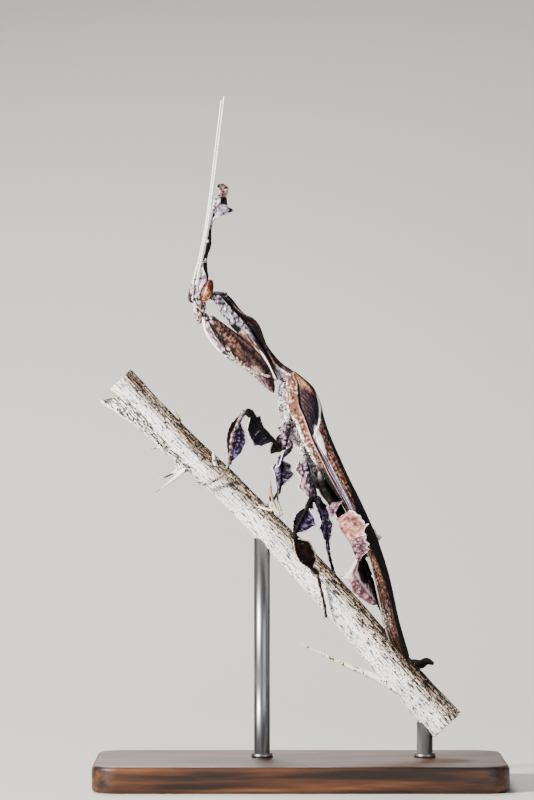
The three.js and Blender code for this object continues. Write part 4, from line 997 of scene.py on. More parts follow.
def sheetTint(points, u, v, tone, seed):
    # a leaf lobe: mottled blade, thin pale veins that fan from its root, a dark seam inside its pale rim
    blade = mottle(points, tone["base"], tone["pale"], tone["dark"], 0.6, seed, (0.3, 0.45))
    wave = 0.3 * (lumps(points, 0.7, seed + 2) - 0.5)
    fan = np.abs(((u * tone.get("veins", 3.2) + 0.5 * (u - 0.5) * v + wave) % 1) - 0.5) * 2
    blade = blend(blade, tone["dark"], 0.55 * (1 - v) ** 2)
    blade = blend(blade, tone["dark"], 0.5 * band(fan, 0.16, 0.08))
    blade = blend(blade, tone["rim"], 0.3 * (1 - step(fan, 0.02, 0.08)) * step(v, 0.08, 0.3)
                  * dotted(points, 0.5, seed + 5, 0.4, 0.6))
    blade = blend(blade, tone["pale"], 0.55 * dotted(points, 0.2, seed + 6, 0.6, 0.68))
    rim = tone.get("rimAt", 0.925)
    blade = blend(blade, tone["dark"], 0.6 * band(v, rim - 0.05, 0.05))
    return blend(blade, tone["rim"], tone.get("edge", 0.95) * step(v, rim, rim + 0.04))


def leaf(form, surface, tone, seed, rows=46, columns=20, thick=0.13):
    # a plate on surface(u, v) that thins towards its rim, with a bead just inside it
    u, v = unitGrid(rows, columns)
    middle = surface(u, v)
    wide = thick * (1.0 - 0.45 * v) + 0.05 * band(v, 0.95, 0.04)
    tint = inked(sheetTint(middle, u, v, tone, seed), tone.get("specks", 0.45))
    form.sheet(middle, wide, tint)


purpleLobe = {"base": "4C3A7A", "pale": "B4A6D8", "dark": "120A1E", "rim": "FFF8FC", "specks": 0.2}
darkLobe = {"base": "24163A", "pale": "64509A", "dark": "08040A", "rim": "F3E6E8", "specks": 0.2}
mauveLobe = {"base": "9A7490", "pale": "EACFDC", "dark": "2C1828", "rim": "FFFAFC", "veins": 2.4,
             "specks": 0.2}
brownLobe = {"base": "4A2A24", "pale": "94604A", "dark": "140A08", "rim": "EBD6CA", "specks": 0.3}
pinkLobe = {"base": "B98086", "pale": "E5A98F", "dark": "7C505A", "rim": "EFD9D8", "veins": 0.1,
            "specks": 0.35}
crestTone = {"base": "A294B0", "pale": "EFE8F4", "dark": "2E2236", "rim": "F3EDF2", "veins": 2.0,
             "specks": 0.5}


# trunk of the body: oval sections along the body's axis

body = {
    "thoraxHalf": [[0.4, 0.9], [1.5, 1.4], [4.2, 1.75], [6.5, 1.7], [8.6, 1.3], [10.0, 1.15]],
    "thoraxTop": [[0.4, -0.75], [1.5, -0.7], [4.2, -0.65], [6.5, -0.8], [8.6, -0.9], [10, -0.9]],
    "thoraxBottom": [[0.4, -1.5], [1.5, -2.3], [4.2, -3.2], [6.5, -3.1], [8.6, -2.3], [10, -2.1]],
    "abdomenHalf": [[8.2, 1.0], [12, 1.45], [16, 1.45], [19, 1.3], [22, 1.0], [26, 0.8], [27.8, 0.35]],
    "abdomenTop": [[8.2, -0.85], [12, -0.65], [16, -0.4], [19, -0.2], [23, -0.1], [26, -0.3], [27.8, -0.5]],
    "abdomenBottom": [[8.2, -2.2], [9, -2.3], [10.5, -2.45], [12.3, -2.45], [14, -2.2], [16, -1.55],
                      [18.4, -1.2],
                      [20, -0.75], [22, -0.65], [25, -0.9], [27.8, -0.8]],
    "segments": (9.6, 11.4, 13.4, 15.6, 19.4, 22.6, 24.6, 26.6),
}


def oval(low, high, rows, columns, half, top, bottom, relief):
    # ring at s: half(s) cos a to the side, middle(s) + tall(s) sin a up, both grown by the relief
    s = np.linspace(low, high, rows)[:, None]
    a = turns(columns)[None, :]
    close = rounded((s - low) / (high - low), 0.08, 0.08)
    middle = (top(s) + bottom(s)) / 2
    tall = (top(s) - bottom(s)) / 2
    extra = relief(s, a)
    right = (half(s) + extra) * close * np.cos(a)
    up = middle + (tall + extra) * close * np.sin(a)
    return onBody(s + 0 * a, right, up), s + 0 * a, a + 0 * s


def addThorax(form):
    def relief(s, a):
        pleats = 0.09 * np.cos(6 * a) * step(s, 1.0, 2.5)
        seam = -0.14 * (band(s, 4.6, 0.16) + band(s, 7.7, 0.14))
        return pleats + seam + 0.12 * (lumps(np.stack([s + 0 * a, 2 * np.cos(a) + 0 * s,
                                                       2 * np.sin(a) + 0 * s], -1),
                                             0.7, 3) - 0.5)

    curves = (smooth(body["thoraxHalf"]), smooth(body["thoraxTop"]), smooth(body["thoraxBottom"]))
    grid, s, a = oval(0.3, 9.6, 80, 56, *curves, relief)
    tint = mottle(grid, "DAD0D8", "FFFFFF", "5A4A58", 0.36, 21, (0.6, 0.4))
    tint = blend(tint, "C9B9CE", 0.5 * dotted(grid, 0.8, 22, 0.5, 0.7))
    # darker over the upper half: painted shade under the wings
    tint = blend(tint, "54444C", 0.6 * step(np.sin(a), 0.1, 0.6))
    form.tube(grid, inked(tint, 0.8))


def addAbdomen(form):
    def relief(s, a):
        grooves = sum(-0.12 * band(s, place, 0.16) + 0.07
                      * band(s, place - 0.32, 0.2) for place in body["segments"])
        return grooves + 0.05 * np.cos(2 * a) + 0.05 * np.cos(14 * a) * 0.3

    curves = (smooth(body["abdomenHalf"]), smooth(body["abdomenTop"]), smooth(body["abdomenBottom"]))
    grid, s, a = oval(8.2, 27.9, 140, 48, *curves, relief)
    # dark brown mottle, deepened as painted shade where the abdomen lies in shadow under the wings
    tint = mottle(grid, "3F2B30", "8D6E78", "120B0D", 0.5, 31)
    tint = blend(tint, mottle(grid, "D6CCD2", "FFFFFF", "43363E", 0.3, 32, (0.55, 0.45)),
                 1 - step(s, 11.2, 12.8))
    rings = sum(band(s, place, 0.13) for place in body["segments"])
    tint = blend(tint, "1A1114", 0.8 * rings)
    form.tube(grid, inked(tint, 0.5))


# side lobes of the abdomen: each runs from its root under the belly, round its fold, to its free edge

def atDepth(points, y):  # the same places at another depth
    return [(point[0], y, point[2]) for point in points]


bigLobe = {**pinkLobe, "base": "E6B6B2", "pale": "FEE0D4", "dark": "B8747E", "rim": "FFF8F4", "veins": 0.1,
           "specks": 0.1,
           "rimAt": 0.965}
roseLobe = {**pinkLobe, "base": "C296A8", "pale": "EED2DE", "dark": "5E3A48", "rim": "F4EAEE", "veins": 2.5,
            "rimAt": 0.955}
lastLobe = {**pinkLobe, "base": "E0B4BC", "pale": "FCE4E0", "dark": "AE7684", "rim": "FBEFEE", "veins": 0.1,
            "edge": 0.8,
            "specks": 0.1, "rimAt": 0.96}
sideLobes = {
    "smallLeft": {"root": [(4.26, -0.9, 31.7), (3.81, -0.9, 30.46)],
                  "fold": [(3.7, -2.2, 31.64), (3.02, -2.4, 31.02), (3.47, -2.2, 30.18)],
                  "free": [(4.7, -2.9, 31.83), (4.31, -2.9, 31.36), (4.03, -2.8, 30.8),
                           (3.64, -2.5, 30.18)],
                  "tone": roseLobe},
    "bigLeft": {"root": [(4.48, -0.8, 30.13), (5.82, -0.8, 27.66)],
                "fold": [(4.09, -1.9, 29.85), (4.48, -1.9, 28.9), (4.93, -1.9, 28.22), (5.41, -1.9, 27.44)],
                "free": [(5.49, -3.2, 30.8), (5.99, -3.3, 30.73), (6.38, -3.3, 30.33), (6.72, -3.3, 30.24),
                         (6.87, -3.3, 29.79), (7.12, -3.35, 29.62), (7.19, -3.35, 29.2),
                         (7.65, -3.4, 29.34),
                         (7.26, -3.35, 28.9), (7.06, -3.3, 28.41), (7.43, -3.3, 28.02),
                         (6.83, -3.2, 28.08)],
                "tone": bigLobe},
    "rearLeft": {"root": [(5.94, -0.7, 27.55), (6.83, -0.7, 25.54)],
                 "fold": [(5.47, -2.0, 27.44), (5.82, -1.9, 26.77), (6.05, -1.8, 26.1),
                          (6.31, -1.6, 25.31)],
                 "free": [(6.72, -3.1, 27.93), (7.39, -3.1, 27.89), (7.28, -3.05, 27.4), (7.76, -3.1, 27.1),
                          (7.39, -3.0, 26.73), (7.75, -3.0, 26.48), (7.43, -2.9, 26.1), (6.94, -2.6, 25.73),
                          (6.66, -2.1, 25.2)],
                 "tone": roseLobe},
    "lastLeft": {"root": [(6.72, -0.7, 25.76), (7.28, -0.7, 23.74), (7.95, -0.6, 22.06),
                          (8.62, -0.5, 20.5)],
                 "fold": [(6.53, -1.8, 25.54), (6.29, -2.0, 24.08), (6.72, -2.0, 22.85),
                          (7.62, -1.7, 21.73), (8.62, -1.0, 20.38)],
                 "free": [(6.34, -1.9, 25.54), (6.16, -2.2, 24.86), (5.88, -2.4, 24.36),
                          (5.38, -2.5, 23.69),
                          (4.54, -2.5, 23.24), (5.32, -2.6, 23.02), (5.66, -2.6, 22.51),
                          (5.71, -2.5, 21.84),
                          (6.44, -2.3, 21.17), (7.39, -1.9, 20.5), (8.06, -1.5, 20.18),
                          (8.71, -1.1, 20.25)],
                 "tone": lastLobe},
    # the far lobes take the dark lobe tone as painted shade: they lie in shadow
    "bigRight": {"root": [(4.59, 0.7, 30.24), (5.94, 0.6, 27.78)],
                 "fold": [(4.59, 1.9, 30.02), (5.49, 1.9, 28.34), (5.94, 1.8, 27.44)],
                 "free": [(6.27, 3.1, 30.97), (6.83, 3.2, 30.13), (7.39, 3.2, 29.29), (7.95, 3.1, 28.22)],
                 "tone": darkLobe},
    "rearRight": {"root": [(5.94, 0.6, 27.55), (6.83, 0.6, 25.65)],
                  "fold": [(5.94, 2.0, 27.33), (6.5, 1.9, 26.43), (7.06, 1.6, 25.54)],
                  "free": [(7.95, 3.0, 28.95), (8.55, 3.05, 28.43), (8.69, 3.0, 28), (9.32, 3.05, 27.63),
                           (8.96, 3.0, 27.33), (8.92, 2.95, 26.88), (9.11, 2.9, 26.29), (8.74, 2.7, 25.98),
                           (7.95, 2.2, 25.42)],
                  "tone": darkLobe},
}
for word, depths in (("small", (0.9, 2.3, 2.9)), ("last", (0.3, 1.2, 1.6))):
    near = sideLobes[word + "Left"]
    far = {key: atDepth(near[key], y) for key, y in zip(("root", "fold", "free"), depths)}
    sideLobes[word + "Right"] = {**far, "tone": near["tone"]}
foldAt = 0.4  # where the fold lies between root and free edge


def addSideLobes(form):
    # across each lobe the parabola through root (v = 0), fold (v = foldAt) and free edge (v = 1), finely
    # toothed
    u, v = unitGrid(84, 34)
    for seed, lobe in enumerate(sideLobes.values()):
        root, fold, free = (chain(lobe[key])(u) for key in ("root", "fold", "free"))
        first = (v - foldAt) * (v - 1) / foldAt
        second = v * (v - 1) / (foldAt * (foldAt - 1))
        third = v * (v - foldAt) / (1 - foldAt)
        middle = root * first[..., None] + fold * second[..., None] + free * third[..., None]
        ruffle = 0.08 * np.sin(u * 17 + seed) * v + 0.05 * (lumps(middle, 0.5, seed) - 0.5)
        middle = middle + depth * ruffle[..., None]
        tone = lobe["tone"]
        tint = sheetTint(middle, u, v, tone, 90 + seed)
        if tone is bigLobe:
            warm = band(u, 0.55, 0.2) * band(v, 0.62, 0.14)
            tint = blend(tint, "E0966C", 0.75 * warm)
            blots = dotted(middle, 0.19, 95, 0.52, 0.62)
            tint = blend(tint, "A0606A", 0.6 * blots * (1 - step(v, 0.85, 0.92)))
        if tone is lastLobe:
            tint = blend(tint, "B48490", 0.7 * dotted(middle, 0.22, 97, 0.45, 0.58) * step(v, 0.5, 0.6))
            # near black towards the root: painted shade of the hollow under the belly
            inner = 1 - step(v, 0.34, 0.42)
            tint = blend(tint, "0C0709", 0.97 * inner * (1 - step(u + 0.3 * v, 0.6, 0.66)))
            stripe = np.abs(((u * 9 - v * 5) % 1) - 0.5) * 2
            striped = inner * step(u + 0.3 * v, 0.6, 0.66)
            tint = blend(tint, blend("E9D6DC", "3A2028", step(stripe, 0.35, 0.6)), 0.9 * striped)
            tint = blend(tint, "EDE6EE", 0.95 * band(v, 0.43, 0.035))
            tint = blend(tint, "F4ECE4", 0.9 * (1 - step(u, 0.3, 0.42)) * step(v, 0.6, 0.8))
        form.sheet(middle, 0.16 * (1 - 0.4 * v), inked(tint, tone["specks"]))


def addCerci(form):  # two short beaded rods at the tail
    for side in (-1, 1):
        ends = onBody(np.array([26.9, 28.2, 29.4]), side * np.array([0.45, 0.58, 0.6]),
                      np.array([-0.6, -0.55, -0.45]))

        def wide(t):
            return 0.28 - 0.12 * t + 0.03 * np.cos(t * 44)

        grid = limb(ends, wide, wide, 60, 16)[0]
        form.tube(grid, inked(mottle(grid, "6B4E4C", "A88680", "2A1C1E", 0.3, 8), 0.5))


# prothorax: a keeled shield with leaf-like side margins, and the neck

shield = {
    "keel": [(-9.3, 0, 55.27), (-8.06, 0, 54.77), (-6.72, 0, 53.2), (-5.38, 0, 51.86), (-4.26, 0, 50.06),
             (-3.14, 0, 48.38),
             (-2.02, 0, 47.15), (-0.95, 0, 46.42), (-0.45, 0, 46.03)],
    "half": [[0, 0.7], [0.15, 0.95], [0.3, 1.5], [0.45, 2.2], [0.6, 1.7], [0.78, 1.05], [1, 1.35]],
    "lifted": [[0, -0.4], [0.3, 0], [0.45, 0.5], [0.6, 0.15], [0.8, -0.45], [1, -0.4]],
    "deep": [[0, 1.2], [0.4, 1.3], [0.7, 1.5], [1, 1.7]],
    "neck": [(-8.29, 0, 54.43), (-9.07, -0.1, 54.66), (-9.74, -0.45, 54.77), (-10.3, -0.7, 54.99)],
}


def addProthorax(form):
    # each section runs keel, slope, raised margin, side wall, belly; a half section is mirrored
    route = Route(shield["keel"])
    rows, halfCount = 160, 34
    t = np.linspace(0, 1, rows)
    forward, along = crossAxes(route, t, depth)[:2]
    w = smooth(shield["half"])(t)
    e = smooth(shield["lifted"])(t)
    d = smooth(shield["deep"])(t)
    jagged = 0.2 * (ripple(t * 17, 1.0, 14) - 0.4) + 0.14 * (ripple(t * 41, 1.0, 4) - 0.5)
    w = w + jagged * np.where(w > 1.2, 1.0, 0.5)
    close = rounded(t, 0.03, 0.03)
    low = np.minimum(e, 0)
    corners = np.stack([
        np.stack([0 * w, 0 * w + 0.06], -1),
        np.stack([0.12 + 0 * w, 0 * w - 0.02], -1),
        np.stack([0.45 * w, 0.3 * e - 0.12], -1),
        np.stack([w, e], -1),
        np.stack([w - 0.05, e - 0.2], -1),
        np.stack([0.72 + 0 * w, low - 0.55], -1),
        np.stack([0.66 + 0 * w, -d + 0.42], -1),
        np.stack([0.34 + 0 * w, -d + 0.06], -1),
        np.stack([0 * w, -d], -1),
    ], 1)
    knots = np.array([0, 0.06, 0.24, 0.5, 0.55, 0.68, 0.85, 0.94, 1])
    q = np.linspace(0, 1, halfCount)
    i = np.clip(np.searchsorted(knots, q, side="right") - 1, 0, len(knots) - 2)
    p = (q - knots[i]) / (knots[i + 1] - knots[i])
    half = corners[:, i] * (1 - p)[None, :, None] + corners[:, i + 1] * p[None, :, None]
    cloud = lumps(np.stack([t[:, None] * 14 + 0 * q, q * 5 + 0 * t[:, None], 0 * q + 0 * t[:, None]], -1),
                  0.5, 8)
    half[..., 1] += 0.1 * (cloud - 0.5) * (np.sin(q * np.pi) > 0)[None, :]
    half = half * close[:, None, None]
    otherHalf = half[:, 1:-1][:, ::-1] * np.array([-1, 1])
    ring = np.concatenate([half, otherHalf], 1)
    up = np.cross(forward, along)
    up = up * np.sign(up[:, 2:3])
    grid = route.at(t)[:, None] + along[:, None] * ring[..., :1] + up[:, None] * ring[..., 1:]
    reach = np.concatenate([q, q[1:-1][::-1]])[None, :] + 0 * t[:, None]
    down = t[:, None] + 0 * reach
    tint = mottle(grid, "4A3038", "A88690", "120A0E", 0.3, 12, (0.35, 0.5))
    patch = (1 - step(np.abs(down - 0.47), 0.13, 0.2)) * (1 - step(reach, 0.62, 0.72))
    tint = blend(tint, mottle(grid, "080405", "2E1C28", "040202", 0.3, 13, (0.2, 0.5)), 0.96 * patch)
    flecks = dotted(grid, 0.19, 18, 0.58, 0.64) * patch
    tint = blend(tint, "7A4C42", 0.75 * flecks)
    lavender = band(down, 0.36, 0.05) * dotted(grid, 0.24, 16, 0.52, 0.64)
    tint = blend(tint, "8A7AA0", 0.6 * lavender * (1 - step(reach, 0.5, 0.62)))
    tint = blend(tint, mottle(grid, "8A6468", "D0A8A4", "2A1418", 0.22, 17), 0.85 * step(down, 0.72, 0.82))
    tint = blend(tint, "C9A8A4", 0.6 * band(reach, 0.5, 0.03) * dotted(grid, 0.3, 5, 0.5, 0.6)
                 * (1 - patch))
    under = step(reach, 0.62, 0.72)
    tint = blend(tint, mottle(grid, "A08C94", "E6DDE0", "1C1218", 0.24, 15, (0.35, 0.5)),
                 0.8 * under * (1 - 0.7 * step(down, 0.25, 0.5)))
    powder = mottle(grid, "CFC2CC", "FFFFFF", "3A2E36", 0.22, 20, (0.5, 0.4))
    tint = blend(tint, powder, 0.9 * step(down, 0.8, 0.88) * step(reach, 0.4, 0.55))
    form.tube(grid, inked(tint, 0.1))
    wide = smooth([[0, 0.75], [0.3, 0.62], [0.6, 0.5], [1, 0.45]])
    grid, neckward, a = limb(shield["neck"], wide, wide, 50, 32, relief=lambda t,
                             a: 0.05 * np.cos(t * 60) + 0 * a)
    tint = mottle(grid, "8E8288", "F7F3F6", "0C080B", 0.22, 19, (0.45, 0.6))
    # near black towards the head: painted shade of the neck beside the head
    tint = blend(tint, "070507", 0.92 * step(neckward, 0.55, 0.72))
    form.tube(grid, inked(tint, 0.75))


# head: turned to its left, face down

head = {
    "line": [(-10.77, -0.5, 58.63), (-10.95, -0.6, 57.9), (-11, -0.65, 57.12), (-11.14, -0.75, 56.45),
             (-11.18, -0.8, 55.78),
             (-11.21, -0.85, 55.1), (-11.36, -0.87, 54.32), (-11.39, -0.9, 53.76), (-11.39, -0.92, 53.2),
             (-11.41, -0.94, 52.64),
             (-11.39, -0.96, 52.08), (-11.36, -0.98, 51.58)],
    "half": [[0, 0.36], [0.1, 0.57], [0.21, 0.86], [0.3, 1.0], [0.4, 1.12], [0.5, 1.1], [0.61, 0.86],
             [0.69, 0.68], [0.77, 0.56],
             [0.85, 0.46], [0.93, 0.3], [1, 0.1]],
    "deep": [[0, 0.3], [0.1, 0.45], [0.21, 0.68], [0.3, 0.8], [0.4, 0.9], [0.5, 0.88], [0.61, 0.7],
             [0.69, 0.56], [0.77, 0.46],
             [0.85, 0.4], [0.93, 0.24], [1, 0.08]],
    "face": (-0.8, -0.6, 0.0),
    "left": (0.6, -0.8, 0.0),
    "eyes": ((1, (-10.43, -1.95, 55.27)), (-1, (-11.82, 0.1, 55.27))),
    # markings as places down the head (0 to 1) and degrees round it: 0 is its side, 90 the middle of the
    # face
    "backEdge": [[0, 40], [0.1, 34], [0.2, 11], [0.3, -10], [0.5, -16], [0.6, 0], [0.72, 10], [0.86, 4],
                 [1, -6]],
    "lilac": ([[0.1, 40], [0.2, 36], [0.3, 32], [0.36, 28]],
              [[0.1, 36], [0.16, 20], [0.22, 6], [0.3, -8], [0.36, 0]]),
    "lines": (
        ([[0.03, 78], [0.2, 82], [0.3, 80], [0.43, 77], [0.56, 82]], 9, "040203", -1.0),
        ([[0.0, 58], [0.1, 54], [0.2, 47], [0.32, 44]], 9, "0E080D", 0.08),
        ([[0.31, 62], [0.4, 54], [0.5, 47]], 6, "060305", -1.0),
        ([[0.29, 44], [0.34, 42], [0.39, 40]], 11, "FFFFFF", -1.0),
        ([[0.42, 68], [0.5, 66], [0.6, 60]], 5, "120A10", 0.3),
        ([[0.44, 24], [0.55, 22], [0.66, 30]], 5, "120A10", 0.3),
    ),
    "eyeTall": 1.34, "eyeWide": 0.68, "eyeDeep": 0.74,
}
face, headLeft = (unit(np.array(head[key])) for key in ("face", "left"))


def inside(t, around, edges):  # 1 between two edges, each degrees over the place down the head
    high, low = (ragged(edge)(t) for edge in edges)
    first, last = edges[0][0][0], edges[0][-1][0]
    between = step(high - around, 0, 4) * step(around - low, 0, 4)
    return between * step(t, first, first + 0.01) * (1 - step(t, last, last + 0.02))


def addHead(form):
    # sections along the head's line: half(t) cos a to its left, deep(t) sin a to the face, with face ridges
    route = Route(head["line"])
    rows, columns = 200, 112
    t = np.linspace(0, 1, rows)[:, None]
    a = turns(columns)[None, :]
    close = rounded(t, 0.05, 0.06)
    front = np.clip(np.sin(a), 0, 1)
    x = np.cos(a)
    relief = 0.12 * band(x, 0.0, 0.16) * front * step(t, 0.04, 0.2) * (1 - step(t, 0.55, 0.66))
    groove = 0.13 * band(np.abs(x), 0.34, 0.1) * front * step(t, 0.08, 0.2)
    relief = relief - groove * (1 - step(t, 0.62, 0.7))
    swelling = 0.1 * band(np.abs(x), 0.56, 0.12) * front * step(t, 0.1, 0.25)
    relief = relief + swelling * (1 - step(t, 0.5, 0.7))
    relief = relief - 0.1 * band(t, 0.66, 0.018) * front - 0.08 * band(t, 0.83, 0.014) * front
    relief = relief + 0.07 * band(t, 0.75, 0.06) * front * (1 - x**2)
    relief = relief - 0.1 * band(t, 0.72, 0.09) * band(np.abs(x), 0.8, 0.18)
    noise = np.stack([t * 9 + 0 * a, 2 * x + 0 * t, 2 * np.sin(a) + 0 * t], -1)
    relief = relief + 0.05 * (lumps(noise, 0.4, 6) - 0.5)
    wide = (smooth(head["half"])(t) + relief) * close
    tall = (smooth(head["deep"])(t) + relief) * close
    grid = route.at(t[:, 0])[:, None] + headLeft * (wide * np.cos(a))[..., None]
    grid = grid + face * (tall * np.sin(a))[..., None]
    t, x, front = t + 0 * a, x + 0 * t, front + 0 * t
    # degrees from the head's side (0) to the middle of its face (90); negative behind
    around = np.degrees(a) + 0 * t
    around = 90 - np.abs(np.where(around > 270, around - 360, around) - 90)
    # white, pinker towards the mouth, with dark spots over the lower face
    tint = mottle(grid, "E4DCE6", "FFFFFF", "8A7A8C", 0.2, 23, (0.6, 0.2))
    tint = blend(tint, "F3D6D0", 0.6 * step(t, 0.6, 0.78))
    spots = dotted(grid, 0.19, 24, 0.53, 0.58) * step(t, 0.42, 0.5) * step(around, 8, 20)
    spots = spots * (1 - step(around, 70, 76) * step(t, 0.62, 0.7))
    tint = blend(tint, "080408", 0.97 * spots)
    tint = blend(tint, "F1DDF4", 0.95 * inside(t, around, head["lilac"]))
    # black behind, speckled on the cheek beside the jaws, and parted from the face by a pale line
    dark = mottle(grid, "0C0709", "3A2E38", "050304", 0.3, 29, (0.3, 0.5))
    cheek = blend("0A0507", "FFE6DE", dotted(grid, 0.19, 27, 0.55, 0.6))
    dark = blend(dark, cheek, step(t, 0.6, 0.66))
    edge = smooth(head["backEdge"])(t)
    tint = blend(tint, dark, 1 - step(around, edge - 3, edge + 3))
    tint = blend(tint, "FFEDE8", 0.95 * band(around, edge + 9, 6) * step(t, 0.58, 0.64))
    for path, half, tone, broken in head["lines"]:
        path = np.array(path, float)
        there = step(t, path[0, 0], path[0, 0] + 0.03) * (1 - step(t, path[-1, 0] - 0.03, path[-1, 0]))
        gaps = step(ripple(t * 40 + half, 1.0, int(half)), broken, broken + 0.15)
        tint = blend(tint, tone, 0.97 * gaps * there * band(around, ragged(path)(t), half))
    form.tube(grid, inked(tint, 0.0))
    # a pointed bump on the crown beside each eye, and a rim round each antenna socket
    bumps = (([(-10.65, -0.9, 58.49), (-10.6, -1.0, 58.69), (-10.51, -1.1, 58.93)], 0.13),
             ([(-11.09, -0.4, 57.79), (-11.29, -0.4, 58.3), (-11.44, -0.45, 58.77)], 0.2),
             ([(-11.16, -1.45, 55.78), (-11.11, -1.55, 56.11), (-11.12, -1.65, 56.34)], 0.3),
             ([(-11.8, -1.0, 55.72), (-11.85, -1.0, 56.06), (-11.92, -1.0, 56.28)], 0.28))
    for line, radius in bumps:
        def wide(p):
            return radius * (1 - 0.75 * p**1.5)

        grid = limb(line, wide, wide, 24, 20)[0]
        tint = mottle(grid, "D9CCD6", "FBF8FA", "3C2E3A", 0.2, 33)
        form.tube(grid, inked(tint, 0.4))


def addMouth(form):
    # upper lip, a jaw on each side, and two pairs of jointed palps
    lip = [(-11.42, -1.0, 53.09), (-11.4, -1.08, 52.3), (-11.38, -1.08, 51.52)]
    lipWide = smooth([[0, 0.44], [0.4, 0.38], [0.8, 0.2], [1, 0.05]])
    lipDeep = smooth([[0, 0.34], [0.8, 0.18], [1, 0.06]])
    grid, t = limb(lip, lipWide, lipDeep, 50, 28, tuple(headLeft))[:2]
    tint = mottle(grid, "EFD0C8", "FFF6F2", "C09090", 0.2, 41, (0.5, 0.3))
    tint = blend(tint, "0A0508", 0.96 * dotted(grid, 0.19, 44, 0.53, 0.58) * (1 - step(t, 0.84, 0.9)))
    form.tube(grid, inked(tint, 0.0))
    for side in (-1, 1):
        jaw = np.array((-11.17, -0.95, 53.31)) + headLeft * side * 0.42
        line = [jaw + np.array([0, 0, 0.9]) - face * 0.1, jaw + face * 0.08,
                jaw + np.array([-0.12, 0, -0.95])]
        jawWide = smooth([[0, 0.3], [0.4, 0.44], [1, 0.2]])
        jawDeep = smooth([[0, 0.28], [0.5, 0.34], [1, 0.2]])
        grid = limb(line, jawWide, jawDeep, 44, 28)[0]
        form.tube(grid, inked(mottle(grid, "1C1114", "F3DFD8", "060304", 0.12, 43 + side, (0.45, 0.6)),
                              0.0))
        for far, drop, thick in ((1.0, 0.0, 0.2), (0.55, 0.55, 0.16)):
            start = np.array((-11.33, -0.95, 52.53)) + headLeft * side * 0.34 * far
            knee = start + np.array([0.36 + 0.1 * side, 0, 0.12 - 0.3 * drop]) + headLeft * side * 0.2
            low = knee + np.array([0.2, 0, -0.42 - 0.1 * drop])
            end = low + np.array([-0.1, -0.03, -0.36])
            joints = 3 * np.pi

            def wide(t):
                return thick * (1 - 0.3 * t) * (0.8 + 0.2 * np.abs(np.sin(t * joints + 0.6)))

            grid = limb([start, knee, low, end], wide, wide, 44, 14)[0]
            form.tube(grid, inked(mottle(grid, "241A20", "C9B4BA", "080406", 0.14, 47, (0.4, 0.5)), 0.0))


crest = {
    "stalk": [(-10.8, -0.6, 57.46), (-10.72, -0.5, 58.58), (-10.55, -0.42, 59.36), (-10.35, -0.35, 60.09),
              (-10.25, -0.27, 60.7),
              (-10.15, -0.15, 61.49), (-10.1, -0.1, 62.16), (-9.97, 0, 62.83), (-9.74, 0, 63.73),
              (-9.52, 0, 64.62)],
    "stalkWide": [[0, 0.45], [0.15, 0.27], [0.26, 0.21], [0.37, 0.27], [0.45, 0.28], [0.56, 0.18],
                  [0.65, 0.15], [0.75, 0.13],
                  [0.88, 0.14], [1, 0.06]],
    # rows of the blade: its left and right edge
    "blade": [((-10.1, -0.1, 62.27), (-9.98, -0.1, 62.27)), ((-10.08, -0.1, 63.06), (-9.79, 0, 62.97)),
              ((-10.01, -0.1, 63.62), (-9.02, 0.15, 63.56)), ((-9.95, -0.15, 64.12), (-7.95, 0.3, 64.01)),
              ((-9.88, -0.2, 64.57), (-7.41, 0.1, 64.4)), ((-9.79, -0.15, 64.9), (-8.02, -0.15, 64.74)),
              ((-9.7, -0.1, 65.24), (-8, -0.4, 65.13)), ((-9.62, 0, 65.52), (-8.02, -0.3, 65.52)),
              ((-9.41, 0.15, 65.86), (-8.12, 0, 65.8)), ((-9.12, 0.25, 66.16), (-8.08, 0.2, 66.23)),
              ((-8.97, 0.2, 66.44), (-7.97, 0.3, 66.58)), ((-9.05, 0, 66.65), (-8.04, 0.2, 66.91)),
              ((-9.36, -0.15, 66.93), (-8.23, 0, 67.16)), ((-9.34, -0.2, 67.18), (-8.68, -0.2, 67.33))],
}


